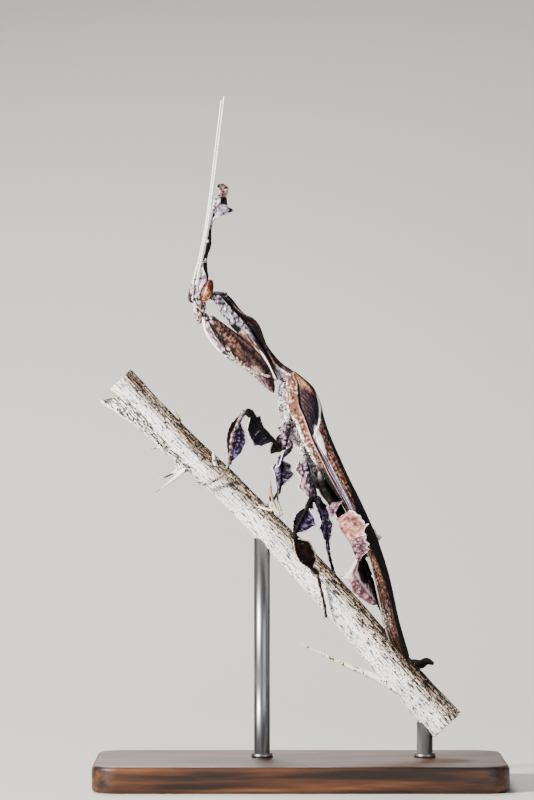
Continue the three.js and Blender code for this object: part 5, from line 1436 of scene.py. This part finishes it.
def addCrest(form):
    # a stalk that runs up into a torn blade; the blade is a sheet between its left and right edges
    wide = smooth(crest["stalkWide"])
    grid, t, a = limb(crest["stalk"], wide, lambda t: wide(t) * 0.8, 110, 24,
                      relief=lambda t, a: 0.05 * np.cos(3 * a) + 0.07 * (ripple(t * 12, 0.5, 4) - 0.5))
    tint = mottle(grid, "0C080C", "3A3040", "040203", 0.35, 51, (0.15, 0.45))
    lit = step(-np.cos(a), 0.2, 0.7) * step(t, 0.6, 0.72)
    tint = blend(tint, "D8CCE0", 0.7 * lit)
    tint = blend(tint, "F3ECF6", 0.95 * band(t, 0.47, 0.015) * step(-np.cos(a), -0.2, 0.3))
    tint = blend(tint, "C9B4DA", 0.8 * (1 - step(t, 0.1, 0.18)) * step(-np.cos(a), -0.3, 0.2))
    form.tube(grid, inked(tint, 0.1))
    left = np.array([row[0] for row in crest["blade"]])
    right = np.array([row[1] for row in crest["blade"]])
    place = np.linspace(0, 1, len(left))
    u = np.linspace(0, 1, 120)[:, None]
    v = np.linspace(0, 1, 38)[None, :]
    rows = [np.stack([smooth(np.stack([place, edge[:, k]], -1))(u[:, 0]) for k in range(3)],
                     -1) for edge in (left, right)]
    middle = rows[0][:, None] * (1 - v[..., None]) + rows[1][:, None] * v[..., None]
    fold = 0.14 * np.sin(7 * u + 5 * v) + 0.1 * np.sin(17 * u - 4 * v) * v
    middle = middle + depth * (fold * step(u, 0.05, 0.3))[..., None]
    u, v = u + 0 * v, v + 0 * u
    tint = sheetTint(middle, u, v, crestTone, 55)
    low = step(u, 0.06, 0.12) * (1 - step(u, 0.5, 0.6))
    tint = blend(tint, "EFE6F6", 0.6 * low * dotted(middle, 0.3, 59, 0.35, 0.55))
    tint = blend(tint, "140C1C", 0.95 * low * band(v, 0.19 + 0.05 * np.sin(30 * u), 0.045))
    tint = blend(tint, "3A2852", 0.8 * low * dotted(middle, 0.16, 60, 0.6, 0.68))
    tint = blend(tint, "FBF7FC", 0.9 * band(u, 0.48, 0.05) * band(v, 0.34, 0.1))
    tint = blend(tint, "FFFFFF", 0.7 * low * (1 - step(u, 0.3, 0.4)) * step(v, 0.84, 0.94))
    tint = blend(tint, "030203", step(v, 0.74, 0.8) * (1 - step(np.abs(u - 0.32), 0.06, 0.08)))
    notch = step(v, 0.4, 0.5) * (1 - step(v, 0.93, 0.97)) * (1 - step(np.abs(u - 0.52), 0.08, 0.11))
    tint = blend(tint, "030203", notch)
    high = step(u, 0.6, 0.66)
    spots = mottle(middle, "A07468", "F3D8C8", "1E1014", 0.24, 58, (0.5, 0.55))
    tint = blend(tint, spots, 0.9 * high)
    rim = np.maximum(step(v, 0.93, 0.97), 1 - step(v, 0.04, 0.08))
    tint = blend(tint, "EFE4E4", 0.7 * rim * step(u, 0.1, 0.2))
    form.sheet(middle, 0.1 + 0.05 * band(v, 0.5, 0.3), inked(tint, 0.1))


# forelegs: folded, the shin shut against the underside of the thigh

foreleg = {
    "coxa": [(-9.86, 1.3, 55.05), (-9.3, 1.5, 54.49), (-8.4, 1.5, 53.31), (-7.28, 1.4, 51.97),
             (-5.6, 1.25, 50.06),
             (-4.03, 1.15, 48.05), (-2.58, 1.05, 45.25)],
    "coxaWide": [[0, 0.3], [0.1, 0.5], [0.22, 0.64], [0.42, 0.68], [0.58, 0.47], [0.74, 0.3], [0.9, 0.24],
                 [1, 0.3]],
    "coxaDeep": [[0, 0.4], [0.4, 0.42], [0.7, 0.28], [1, 0.28]],
    "femur": [(-2.91, 1.05, 43.9), (-4.14, 1.1, 46.14), (-6.72, 1.1, 48.78), (-8.4, 1.1, 50.51),
              (-10.25, 1.1, 52.47)],
    "femurWide": [[0, 0.16], [0.08, 0.52], [0.2, 0.95], [0.4, 1.24], [0.58, 1.17], [0.78, 0.82],
                  [0.93, 0.52], [1, 0.4]],
    "femurDeep": [[0, 0.2], [0.1, 0.38], [0.3, 0.55], [0.7, 0.5], [1, 0.3]],
    "tibia": [(-10.7, 1.1, 52.47), (-10.25, 1.1, 50.96), (-9.41, 1.1, 49.62), (-8.4, 1.1, 48.44),
              (-7.39, 1.15, 47.49)],
    "tibiaWide": [[0, 0.3], [0.3, 0.48], [0.6, 0.48], [0.85, 0.34], [1, 0.16]],
    "tarsus": [(-7.73, 1.5, 47.99), (-7.17, 1.95, 47.43), (-6.05, 2.0, 46.7), (-4.7, 1.95, 46.09),
               (-3.3, 1.8, 45.66)],
}


def mirrored(points, side):  # the left leg's points for -1, the right leg's for 1
    return [(x, side * y, z) for x, y, z in points]


def upward(grid, row):  # +1 where the first point of that ring is on its upper side, else -1
    return np.sign((grid[row, 0] - grid[row, grid.shape[1] // 2])[2])


def addForeleg(form, side):
    wide, deepCurve = smooth(foreleg["coxaWide"]), smooth(foreleg["coxaDeep"])
    grid, t, a = limb(mirrored(foreleg["coxa"], side), wide, deepCurve, 100, 32,
                      relief=lambda t, a: 0.06 * np.cos(3 * a + 0.6) + 0.05
                      * (ripple(t * 26, 1.0, 3) - 0.5) + 0 * a)
    low = -np.cos(a) * upward(grid, 60)  # 1 along the lower edge, -1 along the upper
    # lilac-white with black dots, a pinkish stretch along its lower half and a black patch before that
    tint = streaky(t, a, 14, "C9BCD0", "FFFFFF", "6A5A70", 0.3, 61, (0.55, 0.4))
    dots = dotted(grid, 0.19, 62, 0.53, 0.59)
    tint = blend(tint, "0A050B", 0.95 * dots * (1 - step(t, 0.5, 0.62)))
    flesh = step(low, -0.35, 0.0) * step(t, 0.4, 0.46)
    tint = blend(tint, streaky(t, a, 14, "C89C96", "FBE6DC", "5A343A", 0.24, 63, (0.45, 0.4)), 0.92 * flesh)
    tint = blend(tint, "060304", step(low, 0.1, 0.3) * (1 - step(np.abs(t - 0.385), 0.04, 0.055)))
    tint = blend(tint, "FFFFFF", 0.95 * step(t, 0.66, 0.74) * band(low, 0.25, 0.28))
    dashes = dotted(np.stack([5 * t, 2 * low, 0 * t], -1), 0.2, 60, 0.52, 0.6)
    dashes = dashes * flesh * (1 - step(t, 0.68, 0.74))
    tint = blend(tint, "4A2428", 0.85 * dashes)
    tint = blend(tint, "0A0508", 0.97 * step(t, 0.5, 0.6) * step(-low, 0.0, 0.2))
    tint = blend(tint, "2A1620", 0.9 * step(low, 0.8, 0.92) * step(t, 0.42, 0.5))
    form.tube(grid, inked(tint, 0.0))
    # femur: a flattened spindle with a ridge and a seam along it
    wide, deepCurve = smooth(foreleg["femurWide"]), smooth(foreleg["femurDeep"])

    def relief(t, a):
        ridge = 0.1 * band(np.cos(a), 0.2, 0.12) - 0.09 * band(np.cos(a), -0.15, 0.1)
        return ridge * step(t, 0.05, 0.2) + 0.08 * (ripple(t * 22 + 2 * np.cos(a), 0.8, 9) - 0.5)

    grid, t, a = limb(mirrored(foreleg["femur"], side), wide, deepCurve, 120, 44, relief=relief)
    x = np.cos(a) * upward(grid, 70)  # 1 along the upper edge, -1 along the lower
    # dark reddish brown with golden grains, blacker above, mauve towards the root, a yellowish lower edge
    tint = streaky(t, a, 13, "6E4A48", "A4807C", "1E1012", 0.2, 65, (0.45, 0.4))
    grains = dotted(grid, 0.17, 66, 0.5, 0.58) * (1 - step(np.abs(x + 0.05), 0.4, 0.6))
    tint = blend(tint, "CBA48E", 0.8 * grains * step(t, 0.42, 0.6))
    tint = blend(tint, "B58A84", 0.7 * dotted(grid, 0.17, 69, 0.56, 0.62) * (1 - step(t, 0.4, 0.55)))
    tint = blend(tint, "140A0A", 0.9 * dotted(grid, 0.18, 74, 0.62, 0.68))
    rose = streaky(t, a, 13, "A07C8A", "F0DCE0", "3E2430", 0.2, 67, (0.45, 0.45))
    tint = blend(tint, rose, 0.9 * step(-x, 0.3, 0.5) * (1 - step(t, 0.32, 0.45)))
    hatch = np.abs(((t * 46 + 3 * x) % 1) - 0.5) * 2
    tint = blend(tint, "F0DACA", 0.9 * band(x, -0.3, 0.22) * step(hatch, 0.3, 0.6) * step(t, 0.16, 0.2)
                 * (1 - step(t, 0.3, 0.36)))
    tint = blend(tint, "0A0405", 0.94 * band(x, 0.42, 0.2) * step(t, 0.1, 0.22) * (1 - step(t, 0.6, 0.72)))
    tint = blend(tint, "C29A8E", 0.6 * band(x, 0.74, 0.1) * step(t, 0.3, 0.45)
                 * dotted(grid, 0.2, 70, 0.4, 0.5))
    edge = dotted(grid, 0.18, 68, 0.46, 0.52)
    tint = blend(tint, blend("241210", "F3E2CC", edge), 0.95 * step(-x, 0.66, 0.8) * step(t, 0.2, 0.26)
                 * (1 - step(t, 0.62, 0.68)))
    tint = blend(tint, "0C0507", 0.9 * step(x, 0.86, 0.95))
    tint = blend(tint, mottle(grid, "8E7A90", "F3E9F4", "0A0508", 0.2, 64, (0.45, 0.6)),
                 0.95 * step(t, 0.9, 0.95))
    form.tube(grid, inked(tint, 0.0))
    # tibia: a pale blade along the femur's underside
    wide = smooth(foreleg["tibiaWide"])
    grid, t, a = limb(mirrored(foreleg["tibia"], side), wide, lambda t: 0.27 + 0 * t, 90, 28,
                      relief=lambda t, a: 0.05 * (ripple(t * 30, 1.0, 5) - 0.5) + 0 * a)
    x = np.cos(a) * upward(grid, 50)
    tint = streaky(t, a, 9, "C8A8BC", "FFF6FC", "7E5A70", 0.2, 71, (0.55, 0.35))
    tint = blend(tint, "1E0E18", 0.95 * step(x, 0.6, 0.75))
    tint = blend(tint, "FFFFF8", 0.95 * step(-x, 0.5, 0.7))
    tint = blend(tint, "24121E", 0.9 * dotted(grid, 0.18, 72, 0.56, 0.62) * step(t, 0.6, 0.75))
    form.tube(grid, inked(tint, 0.0))
    addTarsus(form, mirrored(foreleg["tarsus"], side), 0.19, ("D9CCC6", "F7F1EC", "5A4648"))


def addTarsus(form, line, radius, tones):
    # a foot of five joints: each joint swells towards its end
    def within(t):  # how far along its joint a place lies
        return (np.clip(t, 0, 0.999) ** 0.8 * 5) % 1

    def wide(t):
        return radius * (0.75 + 0.35 * within(t) ** 1.5) * (1 - 0.15 * t)

    grid, t = limb(line, wide, wide, 90, 12)[:2]
    tint = mottle(grid, tones[0], tones[1], tones[2], 0.25, 77)
    tint = blend(tint, tones[2], 0.8 * (1 - step(within(t), 0.03, 0.12)))
    form.tube(grid, inked(tint, 0.45))


# walking legs

legs = {
    "midLeft": {
        "coxa": [(-1.34, -1.2, 41.89), (-1.4, -1.5, 40.77), (-1.57, -1.75, 39.2), (-2.02, -1.75, 37.52)],
        "femur": [(-2.07, -1.75, 37.41), (-4.03, -3.1, 39.65), (-6.1, -4.3, 41.94)],
        "tibia": [(-6.16, -4.3, 41.94), (-7.5, -2.8, 39.2), (-7.9, -1.2, 35.78)],
        "tarsus": [(-7.86, -1.25, 36.01), (-8.74, -1.65, 34.61), (-9.63, -1.6, 34.05),
                   (-10.86, -1.0, 33.66), (-11.39, -0.8, 33.88)],
        "plane": (0, 1, 0),
    },
    "midRight": {
        "coxa": [(-1.12, 1.2, 41.78), (-1.06, 1.6, 40.32), (-1.12, 1.75, 38.86), (-1.18, 1.8, 37.52)],
        "femur": [(-1.18, 1.8, 37.52), (-1.68, 4.8, 36.96), (-2.24, 8.2, 36.46)],
        "tibia": [(-2.24, 8.2, 36.46), (-2.13, 5.8, 34.61), (-2.41, 3.3, 32.48)],
        "tarsus": [(-2.41, 3.4, 32.7), (-3.14, 3.3, 31.7), (-3.92, 3.45, 30.8), (-4.59, 3.45, 29.9)],
        "plane": (1, 0, 0),
    },
    "hindLeft": {
        "coxa": [(0.06, -1.3, 37.97), (0.39, -1.75, 36.4), (0.95, -1.85, 34.27), (1.4, -1.95, 32.14)],
        "femur": [(1.38, -1.95, 32.2), (0.22, -4.3, 30.02), (-0.75, -6.2, 28.11)],
        "tibia": [(-0.73, -6.2, 28.17), (0.22, -4.1, 25.65), (1.9, -1.8, 23.74)],
        "tarsus": [(1.85, -1.8, 23.97), (2.35, -1.7, 21.84), (2.74, -1.25, 20.16), (2.91, -0.7, 18.76)],
        "plane": (0, 1, 0),
    },
    "hindRight": {
        "coxa": [(0.34, 1.2, 37.18), (0.67, 1.6, 35.73), (1.18, 1.85, 34.16), (1.62, 1.95, 32.31)],
        "femur": [(1.62, 1.95, 32.31), (1.9, 5.0, 32.09), (2.24, 8.4, 31.86)],
        "tibia": [(2.24, 8.4, 31.86), (2.91, 6.2, 28.9), (3.23, 4.0, 25.98)],
        "tarsus": [(3.2, 4.0, 26.15), (3.58, 3.35, 24.53), (3.98, 3.45, 23.3), (4.37, 3.5, 22.06)],
        "plane": (1, 0, 0),
    },
}
segments = {
    "coxa": {"wide": [[0, 0.45], [0.5, 0.4], [1, 0.36]], "deep": [[0, 0.4], [1, 0.36]], "rows": 44},
    "femur": {"wide": [[0, 0.34], [0.3, 0.3], [0.8, 0.24], [1, 0.34]], "deep": [[0, 0.32], [1, 0.28]],
              "rows": 60},
    "tibia": {"wide": [[0, 0.3], [0.1, 0.24], [0.5, 0.2], [0.93, 0.22], [1, 0.24]],
              "deep": [[0, 0.26], [1, 0.2]],
              "rows": 68},
}
lineTones = {
    "midLeft": {"coxa": "mauve", "femur": "dark", "tibia": "pale"},
    "midRight": {"coxa": "mauve", "femur": "purple", "tibia": "purple"},
    "hindLeft": {"coxa": "mauve", "femur": "dark", "tibia": "brown"},
    "hindRight": {"coxa": "purple", "femur": "purple", "tibia": "purple"},
}
tones = {
    "mauve": ("846C84", "EADCEA", "2A1C2A"),
    "dark": ("2A1A22", "7A5E6C", "080405"),
    "pale": ("BBA8AE", "FFF6F6", "2A1A20"),
    "purple": ("4A3A6E", "A99CC9", "120A1A"),
    "brown": ("4A2C24", "A0745E", "120808"),
}
tarsusTones = {
    "midLeft": ("C9BBAE", "F1E9DC", "4E4038"),
    "midRight": ("6A5C74", "A79CBA", "2A2030"),
    "hindLeft": ("6B4F42", "B99A84", "2A1A16"),
    "hindRight": ("6A5C74", "A79CBA", "2A2030"),
}

# each lobe: segment, stretch along it, direction, reach of its edge, curl and colours
lobes = {
    "midLeft": [
        ["coxa", (0.3, 0.95), (-1, 0, -0.2), [[0, 0.2], [0.25, 1.05], [0.45, 0.6], [0.7, 1.1], [1, 0.2]],
         0.2, mauveLobe],
        ["femur", (0.3, 0.85), (-0.75, 0, -1),
         [[0, 0.2], [0.12, 1.5], [0.3, 1.9], [0.55, 1.75], [0.8, 1.3], [1, 0.2]],
         0.4, darkLobe],
        ["femur", (0.58, 1), (-0.2, 0, 1),
         [[0, 0.2], [0.3, 0.75], [0.36, 0.95], [0.46, 0.45], [0.7, 0.7], [1, 0.3]], -0.2,
         darkLobe],
        ["femur", (0.02, 0.24), (-0.75, 0, -1), [[0, 0.2], [0.5, 1.25], [1, 0.2]], 0.2, brownLobe],
        ["tibia", (0.25, 0.9), (1, 0, 0.3), [[0, 0.2], [0.2, 1.25], [0.5, 1.7], [0.75, 1.3], [1, 0.2]], 0.3,
         purpleLobe],
        ["tibia", (0.1, 0.8), (-1, 0, 0), [[0, 0.2], [0.3, 0.75], [0.6, 0.6], [1, 0.2]], -0.1, brownLobe],
    ],
    "midRight": [
        ["coxa", (0.3, 0.95), (-1, 0, -0.2), [[0, 0.2], [0.3, 0.9], [0.5, 0.5], [0.7, 0.9], [1, 0.2]], -0.2,
         mauveLobe],
        ["femur", (0.3, 0.85), (-0.4, 0, -1), [[0, 0.2], [0.2, 1.4], [0.5, 1.7], [0.8, 1.2], [1, 0.2]], 0.3,
         purpleLobe],
        ["tibia", (0.08, 0.85), (-1, 0, 0), [[0, 0.2], [0.2, 0.95], [0.5, 0.7], [1, 0.2]], 0.2, purpleLobe],
        ["tibia", (0.08, 0.75), (1, 0, 0.2),
         [[0, 0.2], [0.2, 1.2], [0.4, 1.0], [0.6, 1.5], [0.8, 0.7], [1, 0.2]], -0.2,
         purpleLobe],
    ],
    "hindLeft": [
        ["coxa", (0.25, 0.97), (-1, 0, 0.2), [[0, 0.2], [0.25, 1.2], [0.45, 0.75], [0.7, 1.35], [1, 0.2]],
         0.2, mauveLobe],
        ["femur", (0.35, 0.95), (0.9, 0, -0.4), [[0, 0.2], [0.2, 1.3], [0.45, 1.8], [0.7, 1.2], [1, 0.3]],
         0.3, purpleLobe],
        ["femur", (0.1, 0.35), (0.9, 0, -0.2), [[0, 0.2], [0.6, 0.75], [1, 0.2]], 0.1, darkLobe],
        ["femur", (0.3, 0.95), (-1, 0, 0.3), [[0, 0.2], [0.4, 0.8], [0.7, 0.7], [1, 0.2]], -0.2, darkLobe],
        ["tibia", (0.1, 0.75), (0.8, 0, 0.7), [[0, 0.2], [0.2, 1.35], [0.6, 1.5], [0.85, 1.1], [1, 0.2]],
         0.5, brownLobe],
        ["tibia", (0.1, 0.7), (-0.8, 0, -0.6), [[0, 0.2], [0.3, 0.5], [0.7, 0.45], [1, 0.2]], -0.2,
         brownLobe],
    ],
    "hindRight": [
        ["coxa", (0.25, 0.95), (-1, 0, 0.2), [[0, 0.2], [0.3, 1.1], [0.5, 0.7], [0.75, 1.1], [1, 0.2]],
         -0.2, purpleLobe],
        ["femur", (0.35, 0.85), (0.2, 0, -1), [[0, 0.2], [0.25, 1.4], [0.55, 1.6], [0.8, 1.0], [1, 0.2]],
         0.3, purpleLobe],
        ["tibia", (0.08, 0.8), (1, 0, 0.1), [[0, 0.2], [0.2, 0.75], [0.45, 0.6], [0.6, 0.95], [1, 0.2]],
         0.2, purpleLobe],
        ["tibia", (0.12, 0.8), (-1, 0, 0), [[0, 0.2], [0.2, 0.55], [0.5, 0.4], [0.65, 0.75], [1, 0.2]],
         -0.2, purpleLobe],
    ],
}


def addWalkingLeg(form, name):
    parts = legs[name]
    for segment, size in segments.items():
        plane = parts["plane"] if segment != "coxa" else (0, 1, 0)
        wide, deepCurve = smooth(size["wide"]), smooth(size["deep"])
        tone = tones[lineTones[name][segment]]
        grid, t, a = limb(parts[segment], wide, deepCurve, size["rows"], 16, plane,
                          relief=lambda t, a: 0.035 * np.cos(4 * a) + 0.05 * (ripple(t * 14, 1.0, 6) - 0.5))
        tint = mottle(grid, *tone, 0.24, 81, (0.45, 0.5))
        tint = blend(tint, tone[2], 0.7 * (1 - step(t, 0.02, 0.08)))
        if segment == "coxa":  # powdered with white where it leaves the body
            powder = mottle(grid, "E6DEE4", "FFFFFF", "43363E", 0.2, 83, (0.6, 0.4))
            tint = blend(tint, powder, 0.95 * (1 - step(t, 0.22, 0.36)))
        form.tube(grid, inked(tint, 0.6))
    addTarsus(form, parts["tarsus"], 0.2, tarsusTones[name])


def legLobe(form, points, stretch, away, reach, curl, tone, seed):
    # from the segment's middle line out along `away`: reach(u) v, its free edge bent by curl v squared,
    # ruffled
    route = Route(points)
    edge = ragged(reach)
    low, high = stretch
    away = np.array(away, float)

    def surface(u, v):
        t = low + (high - low) * (u + 0.1 * (u - 0.5) * v)
        forward = route.toward(t)
        out = unit(away - forward * np.sum(forward * away, -1, keepdims=True))
        teeth = 0.1 * (ripple(u * 9, 1.0, seed) - 0.5) + 0.07 * np.abs(np.sin(u * 25 + seed))
        bend = curl * v * v + 0.09 * np.sin(u * 13 + seed) * v
        out = out * (edge(u) * v + teeth * v**5)[..., None]
        return route.at(t) + out + np.cross(forward, unit(away)) * bend[..., None]

    leaf(form, surface, tone, seed)


# eyes: tall ovals of fine facets, orange with a mauve band and a dark upper edge

def eyeLook():
    look = Look("compoundEye", Roughness=0.5, Specular_IOR_Level=0.14, Coat_Weight=0.04, Coat_Roughness=0.2)
    tint = look.mark("tint")
    place = look.mark("flow", "Vector")
    cells = look.node("ShaderNodeTexVoronoi", {}, {"Vector": place, "Scale": 16.0})
    grain = look.noise(place, 5.0, 2.0)
    base = brightened(look, tint, 0.7, 1.25, grain)
    base = look.mix(base, look.rgb("2A0F0A"), (grain + look.mark("tint", "Alpha") * 0.1).over(0.62, 0.72)
                    * 0.6)
    look.feed(Base_Color=base)
    look.bump(1 - cells, 0.25, 0.00002)
    return look


def makeEye(side, centre, name, node, look):
    # half axes: wide to the head's side, deep to the face, tall along the leaning axis
    form = Form()
    rows, columns = 60, 56
    polar = np.linspace(0.02, np.pi - 0.02, rows)[:, None]
    a = turns(columns)[None, :]
    tall = unit(np.array([0.26, 0, 1.0]))
    squeeze = 1 - 0.12 * np.cos(polar)
    ring = np.sin(polar) * squeeze
    out = headLeft * side * head["eyeWide"]
    grid = np.array(centre) + out * (ring * np.cos(a))[..., None]
    grid = grid + face * head["eyeDeep"] * (ring * np.sin(a))[..., None]
    grid = grid + (tall * head["eyeTall"] + headLeft * side * 0.1) * np.cos(polar)[..., None]
    high = np.cos(polar) + 0 * a
    around = np.degrees(a) + 0 * polar
    around = np.where(around > 180, around - 360, around)
    # orange with fine slanting lines, dark red above, a pale streak and a mauve band towards the face; the
    # pale streak and the pale dots below are painted highlights
    lines = np.abs(((high * 4.2 - around / 30 + 0.6 * lumps(grid, 0.3, 3)) % 1) - 0.5) * 2
    tint = blend(colour("C47A4A") + 0 * high[..., None], "F0B684", step(lines, 0.45, 0.8))
    tint = blend(tint, "7A3420", 0.8 * (1 - step(lines, 0.12, 0.3)))
    # pale dots over the lower part: painted highlights
    tint = blend(tint, "FCE0B4", 0.8 * dotted(grid, 0.18, 5, 0.54, 0.62) * (1 - step(high, -0.3, 0.1)))
    red = step(high + 0.006 * (20 - around), -0.12, 0.25) * (1 - step(around, 36, 46))
    tint = blend(tint, blend("B84438", "5A1610", dotted(grid, 0.22, 7, 0.45, 0.6)), 0.9 * red)
    tint = blend(tint, "1E0706", 0.85 * (1 - step(around, -38, -22)) * step(around, -140, -120))
    # the pale streak: a painted highlight
    streak = band(around, 46, 5) * step(high, -0.45, -0.2) * (1 - step(high, 0.2, 0.45))
    tint = blend(tint, "FFE9E0", 0.95 * streak)
    mauve = step(around, 50, 55) * (1 - step(around, 150, 170))
    purple = blend("84404E", "C08C9C", dotted(grid, 0.2, 6, 0.5, 0.68))
    tint = blend(tint, purple, 0.96 * mauve)
    tint = blend(tint, "1E0A12", 0.85 * band(around, 86, 8))
    if side < 0:
        inward = blend(purple, "2E1626", 0.8 * (1 - step(high, -0.5, 0.0)))
        inward = blend(inward, "F0E2EE", 0.9 * band(around, 52, 24))
        tint = blend(tint, inward, step(around, 16, 26))
    form.tube(grid, inked(tint, 0.2))
    form.finish(name, look, "eye", node)


# antennae: a thicker base and many short joints, cream with dark ticks

antennae = {
    "antennaRight": ("antenna_right",
                     [(-11.92, -0.85, 56.06), (-11.8, -1.1, 56.78), (-11.61, -1.25, 57.57),
                      (-11.32, -1.35, 58.58),
                                       (-11.04, -1.45, 59.92), (-10.8, -1.5, 61.04), (-10.42, -1.5, 63.28),
                      (-10.08, -1.4, 65.74),
                                       (-9.45, -1.2, 71.12), (-8.8, -1.0, 76.64)]),
    "antennaLeft": ("antenna_left",
                    [(-11.51, -1.7, 55.89), (-11.4, -1.95, 56.78), (-11.23, -2.2, 57.79),
                     (-11.03, -2.35, 58.69),
                                     (-10.82, -2.45, 59.92), (-10.58, -2.5, 61.04), (-10.19, -2.5, 63.28),
                     (-9.86, -2.4, 65.74),
                                     (-9.18, -2.2, 71.12), (-8.49, -2.0, 77)]),
}
antennaSize = {"joints": 84, "ringsPerJoint": 6, "radius": 0.15, "taper": 0.4}


def antennaLook():
    look = Look("antenna", Roughness=0.5, Specular_IOR_Level=0.4)
    grain = look.noise(look.mark("flow", "Vector"), 9.0, 2.0)
    look.feed(Base_Color=brightened(look, look.mark("tint"), 0.82, 1.12, grain))
    look.bump(grain, 0.3, 0.00003)
    return look


def makeAntenna(name, node, line, look):
    # radius falls along the length and swells at the end of each joint
    form = Form()
    count = antennaSize["joints"]

    def wide(t):
        joint = (t * count) % 1
        swell = 0.86 + 0.24 * joint**2
        base = 1 + 0.7 * band(t, 0.012, 0.016)
        return antennaSize["radius"] * (1 - antennaSize["taper"] * t) * swell * base

    grid, t = limb(line, wide, wide, count * antennaSize["ringsPerJoint"], 14, low=0.004, high=0.01)[:2]
    joint = (t * count) % 1
    tint = blend(colour("F4EEE0") + 0 * t[..., None], "FFFFFF", band(joint, 0.55, 0.3))
    tint = blend(tint, "5F5240", 0.85 * (1 - step(joint, 0.08, 0.24)))
    form.tube(grid, inked(tint, 0.3))
    form.finish(name, look, "pale_cuticle", node)


# claws, spines and fine hairs

def thornLook():
    look = Look("clawsAndSpines", Roughness=0.42, Specular_IOR_Level=0.45)
    grain = look.noise(look.mark("flow", "Vector"), 6.0, 2.0)
    look.feed(Base_Color=brightened(look, look.mark("tint"), 0.75, 1.2, grain))
    look.bump(grain, 0.3, 0.00003)
    return look


def addClaws(form, line):
    # two straight claws at the end of a foot
    end, before = np.array(line[-1], float), np.array(line[-2], float)
    forward = unit(end - before)
    sideways = unit(np.cross(forward, [0, 0, 1]))
    roots = np.array([end + sideways * 0.08 * k for k in (-1, 1)])
    lean = np.array([forward * 0.8 + sideways * 0.5 * k for k in (-1, 1)])
    cones(form, roots - forward * 0.1, unit(lean), np.array([0.42, 0.42]), np.array([0.07, 0.07]), "6A4A3A")


def addForelegSpines(form, side):
    # two rows under the thigh and one row under the shin
    femur, tibia = Route(mirrored(foreleg["femur"], side)), Route(mirrored(foreleg["tibia"], side))
    t = np.linspace(0.06, 0.52, 11)
    wide = smooth(foreleg["femurWide"])(t)
    under = unit(np.array([-0.72, 0, -0.7]))
    for inward, seed in ((-0.12, 1), (0.16, 2)):
        root = femur.at(t) + under * (wide * 0.86)[:, None] + depth * side * inward
        long = 0.3 + 0.35 * ripple(t * 23 + seed, 1.0, seed)
        lean = unit(under + np.array([-0.35, side * inward * 1.5, 0.1]) + 0 * root)
        cones(form, root, lean, long, 0.07 + 0 * long, "D8C4B6")
    t = np.linspace(0.3, 0.9, 13)
    root = tibia.at(t) + depth * side * 0.15
    cones(form, root, unit(np.array([0.5, side * 0.7, 0.5]) + 0 * root), 0.3 + 0.12 * t, 0.05 + 0 * t,
          "E6D8CE")


bristles = {"seed": 20, "thigh": 90, "thorax": 620}  # how many on each side


def addFringes(form):
    # short pale bristles along the thigh's lower edge and the side of the thorax
    chance = np.random.default_rng(bristles["seed"])
    few, many = bristles["thigh"], bristles["thorax"]
    for side in (-1, 1):
        femur = Route(mirrored(foreleg["femur"], side))
        t = chance.uniform(0.1, 0.95, few)
        wide = smooth(foreleg["femurWide"])(t)
        under = unit(np.array([-0.72, 0, -0.7]))
        root = femur.at(t) + under * (wide * 0.93)[:, None]
        lean = under + chance.normal(0, 0.35, root.shape)
        cones(form, root, unit(lean), chance.uniform(0.1, 0.24, few), 0.022 + 0 * t, "E9D9C2")
        s = chance.uniform(0.8, 8.6, many)
        a = chance.uniform(np.pi * 0.98, np.pi * 1.75, many)
        half, top, bottom = (smooth(body[key])(s) for key in ("thoraxHalf", "thoraxTop", "thoraxBottom"))
        right = side * -half * np.cos(a) * 0.99
        up = (top + bottom) / 2 + (top - bottom) / 2 * np.sin(a) * 0.99
        root = onBody(s, right, up)
        lean = root - onBody(s, 0 * s, (top + bottom) / 2) + chance.normal(0, 0.55, root.shape)
        cones(form, root, unit(lean), chance.uniform(0.1, 0.3, many), 0.02 + 0 * s, "F2ECEC")


# making the pieces of the insect

fleshNodes = ["head", "mouthparts", "prothorax", "thorax", "abdomen", "cercus_left", "cercus_right"]
for word in ("left", "right"):
    for leg in ("fore", "mid", "hind"):
        fleshNodes += ["_".join((leg, part, word)) for part in ("coxa", "femur", "tibia", "tarsus")]

skin = Form()
addThorax(skin)
addAbdomen(skin)
addCerci(skin)
addProthorax(skin)
addHead(skin)
addMouth(skin)
for side in (-1, 1):
    addForeleg(skin, side)
for name in legs:
    addWalkingLeg(skin, name)
skin.finish("mantisSkin", cuticleLook("cuticle", 0.5, 10.0, 0.66), "cuticle", *fleshNodes)

leaves = Form()
addCrest(leaves)
addSideLobes(leaves)
for name, rows in lobes.items():
    for number, (segment, stretch, away, reach, curl, tone) in enumerate(rows):
        legLobe(leaves, legs[name][segment], stretch, away, reach, curl, tone, 11 + 3 * number)
leaves.finish("leafLobes", cuticleLook("leafLobes", 0.48, 8.0, 0.68), "lobed_cuticle", "crest")

eyeMaterial = eyeLook()
for (side, centre), word in zip(head["eyes"], ("Left", "Right")):
    makeEye(side, centre, "eye" + word, "eye_" + word.lower(), eyeMaterial)

antennaMaterial = antennaLook()
for name, (node, line) in antennae.items():
    makeAntenna(name, node, line, antennaMaterial)

sharp = Form()
for parts in legs.values():
    addClaws(sharp, parts["tarsus"])
for side in (-1, 1):
    addClaws(sharp, mirrored(foreleg["tarsus"], side))
    addForelegSpines(sharp, side)
addFringes(sharp)
sharp.finish("clawsAndHairs", thornLook(), "pale_cuticle")
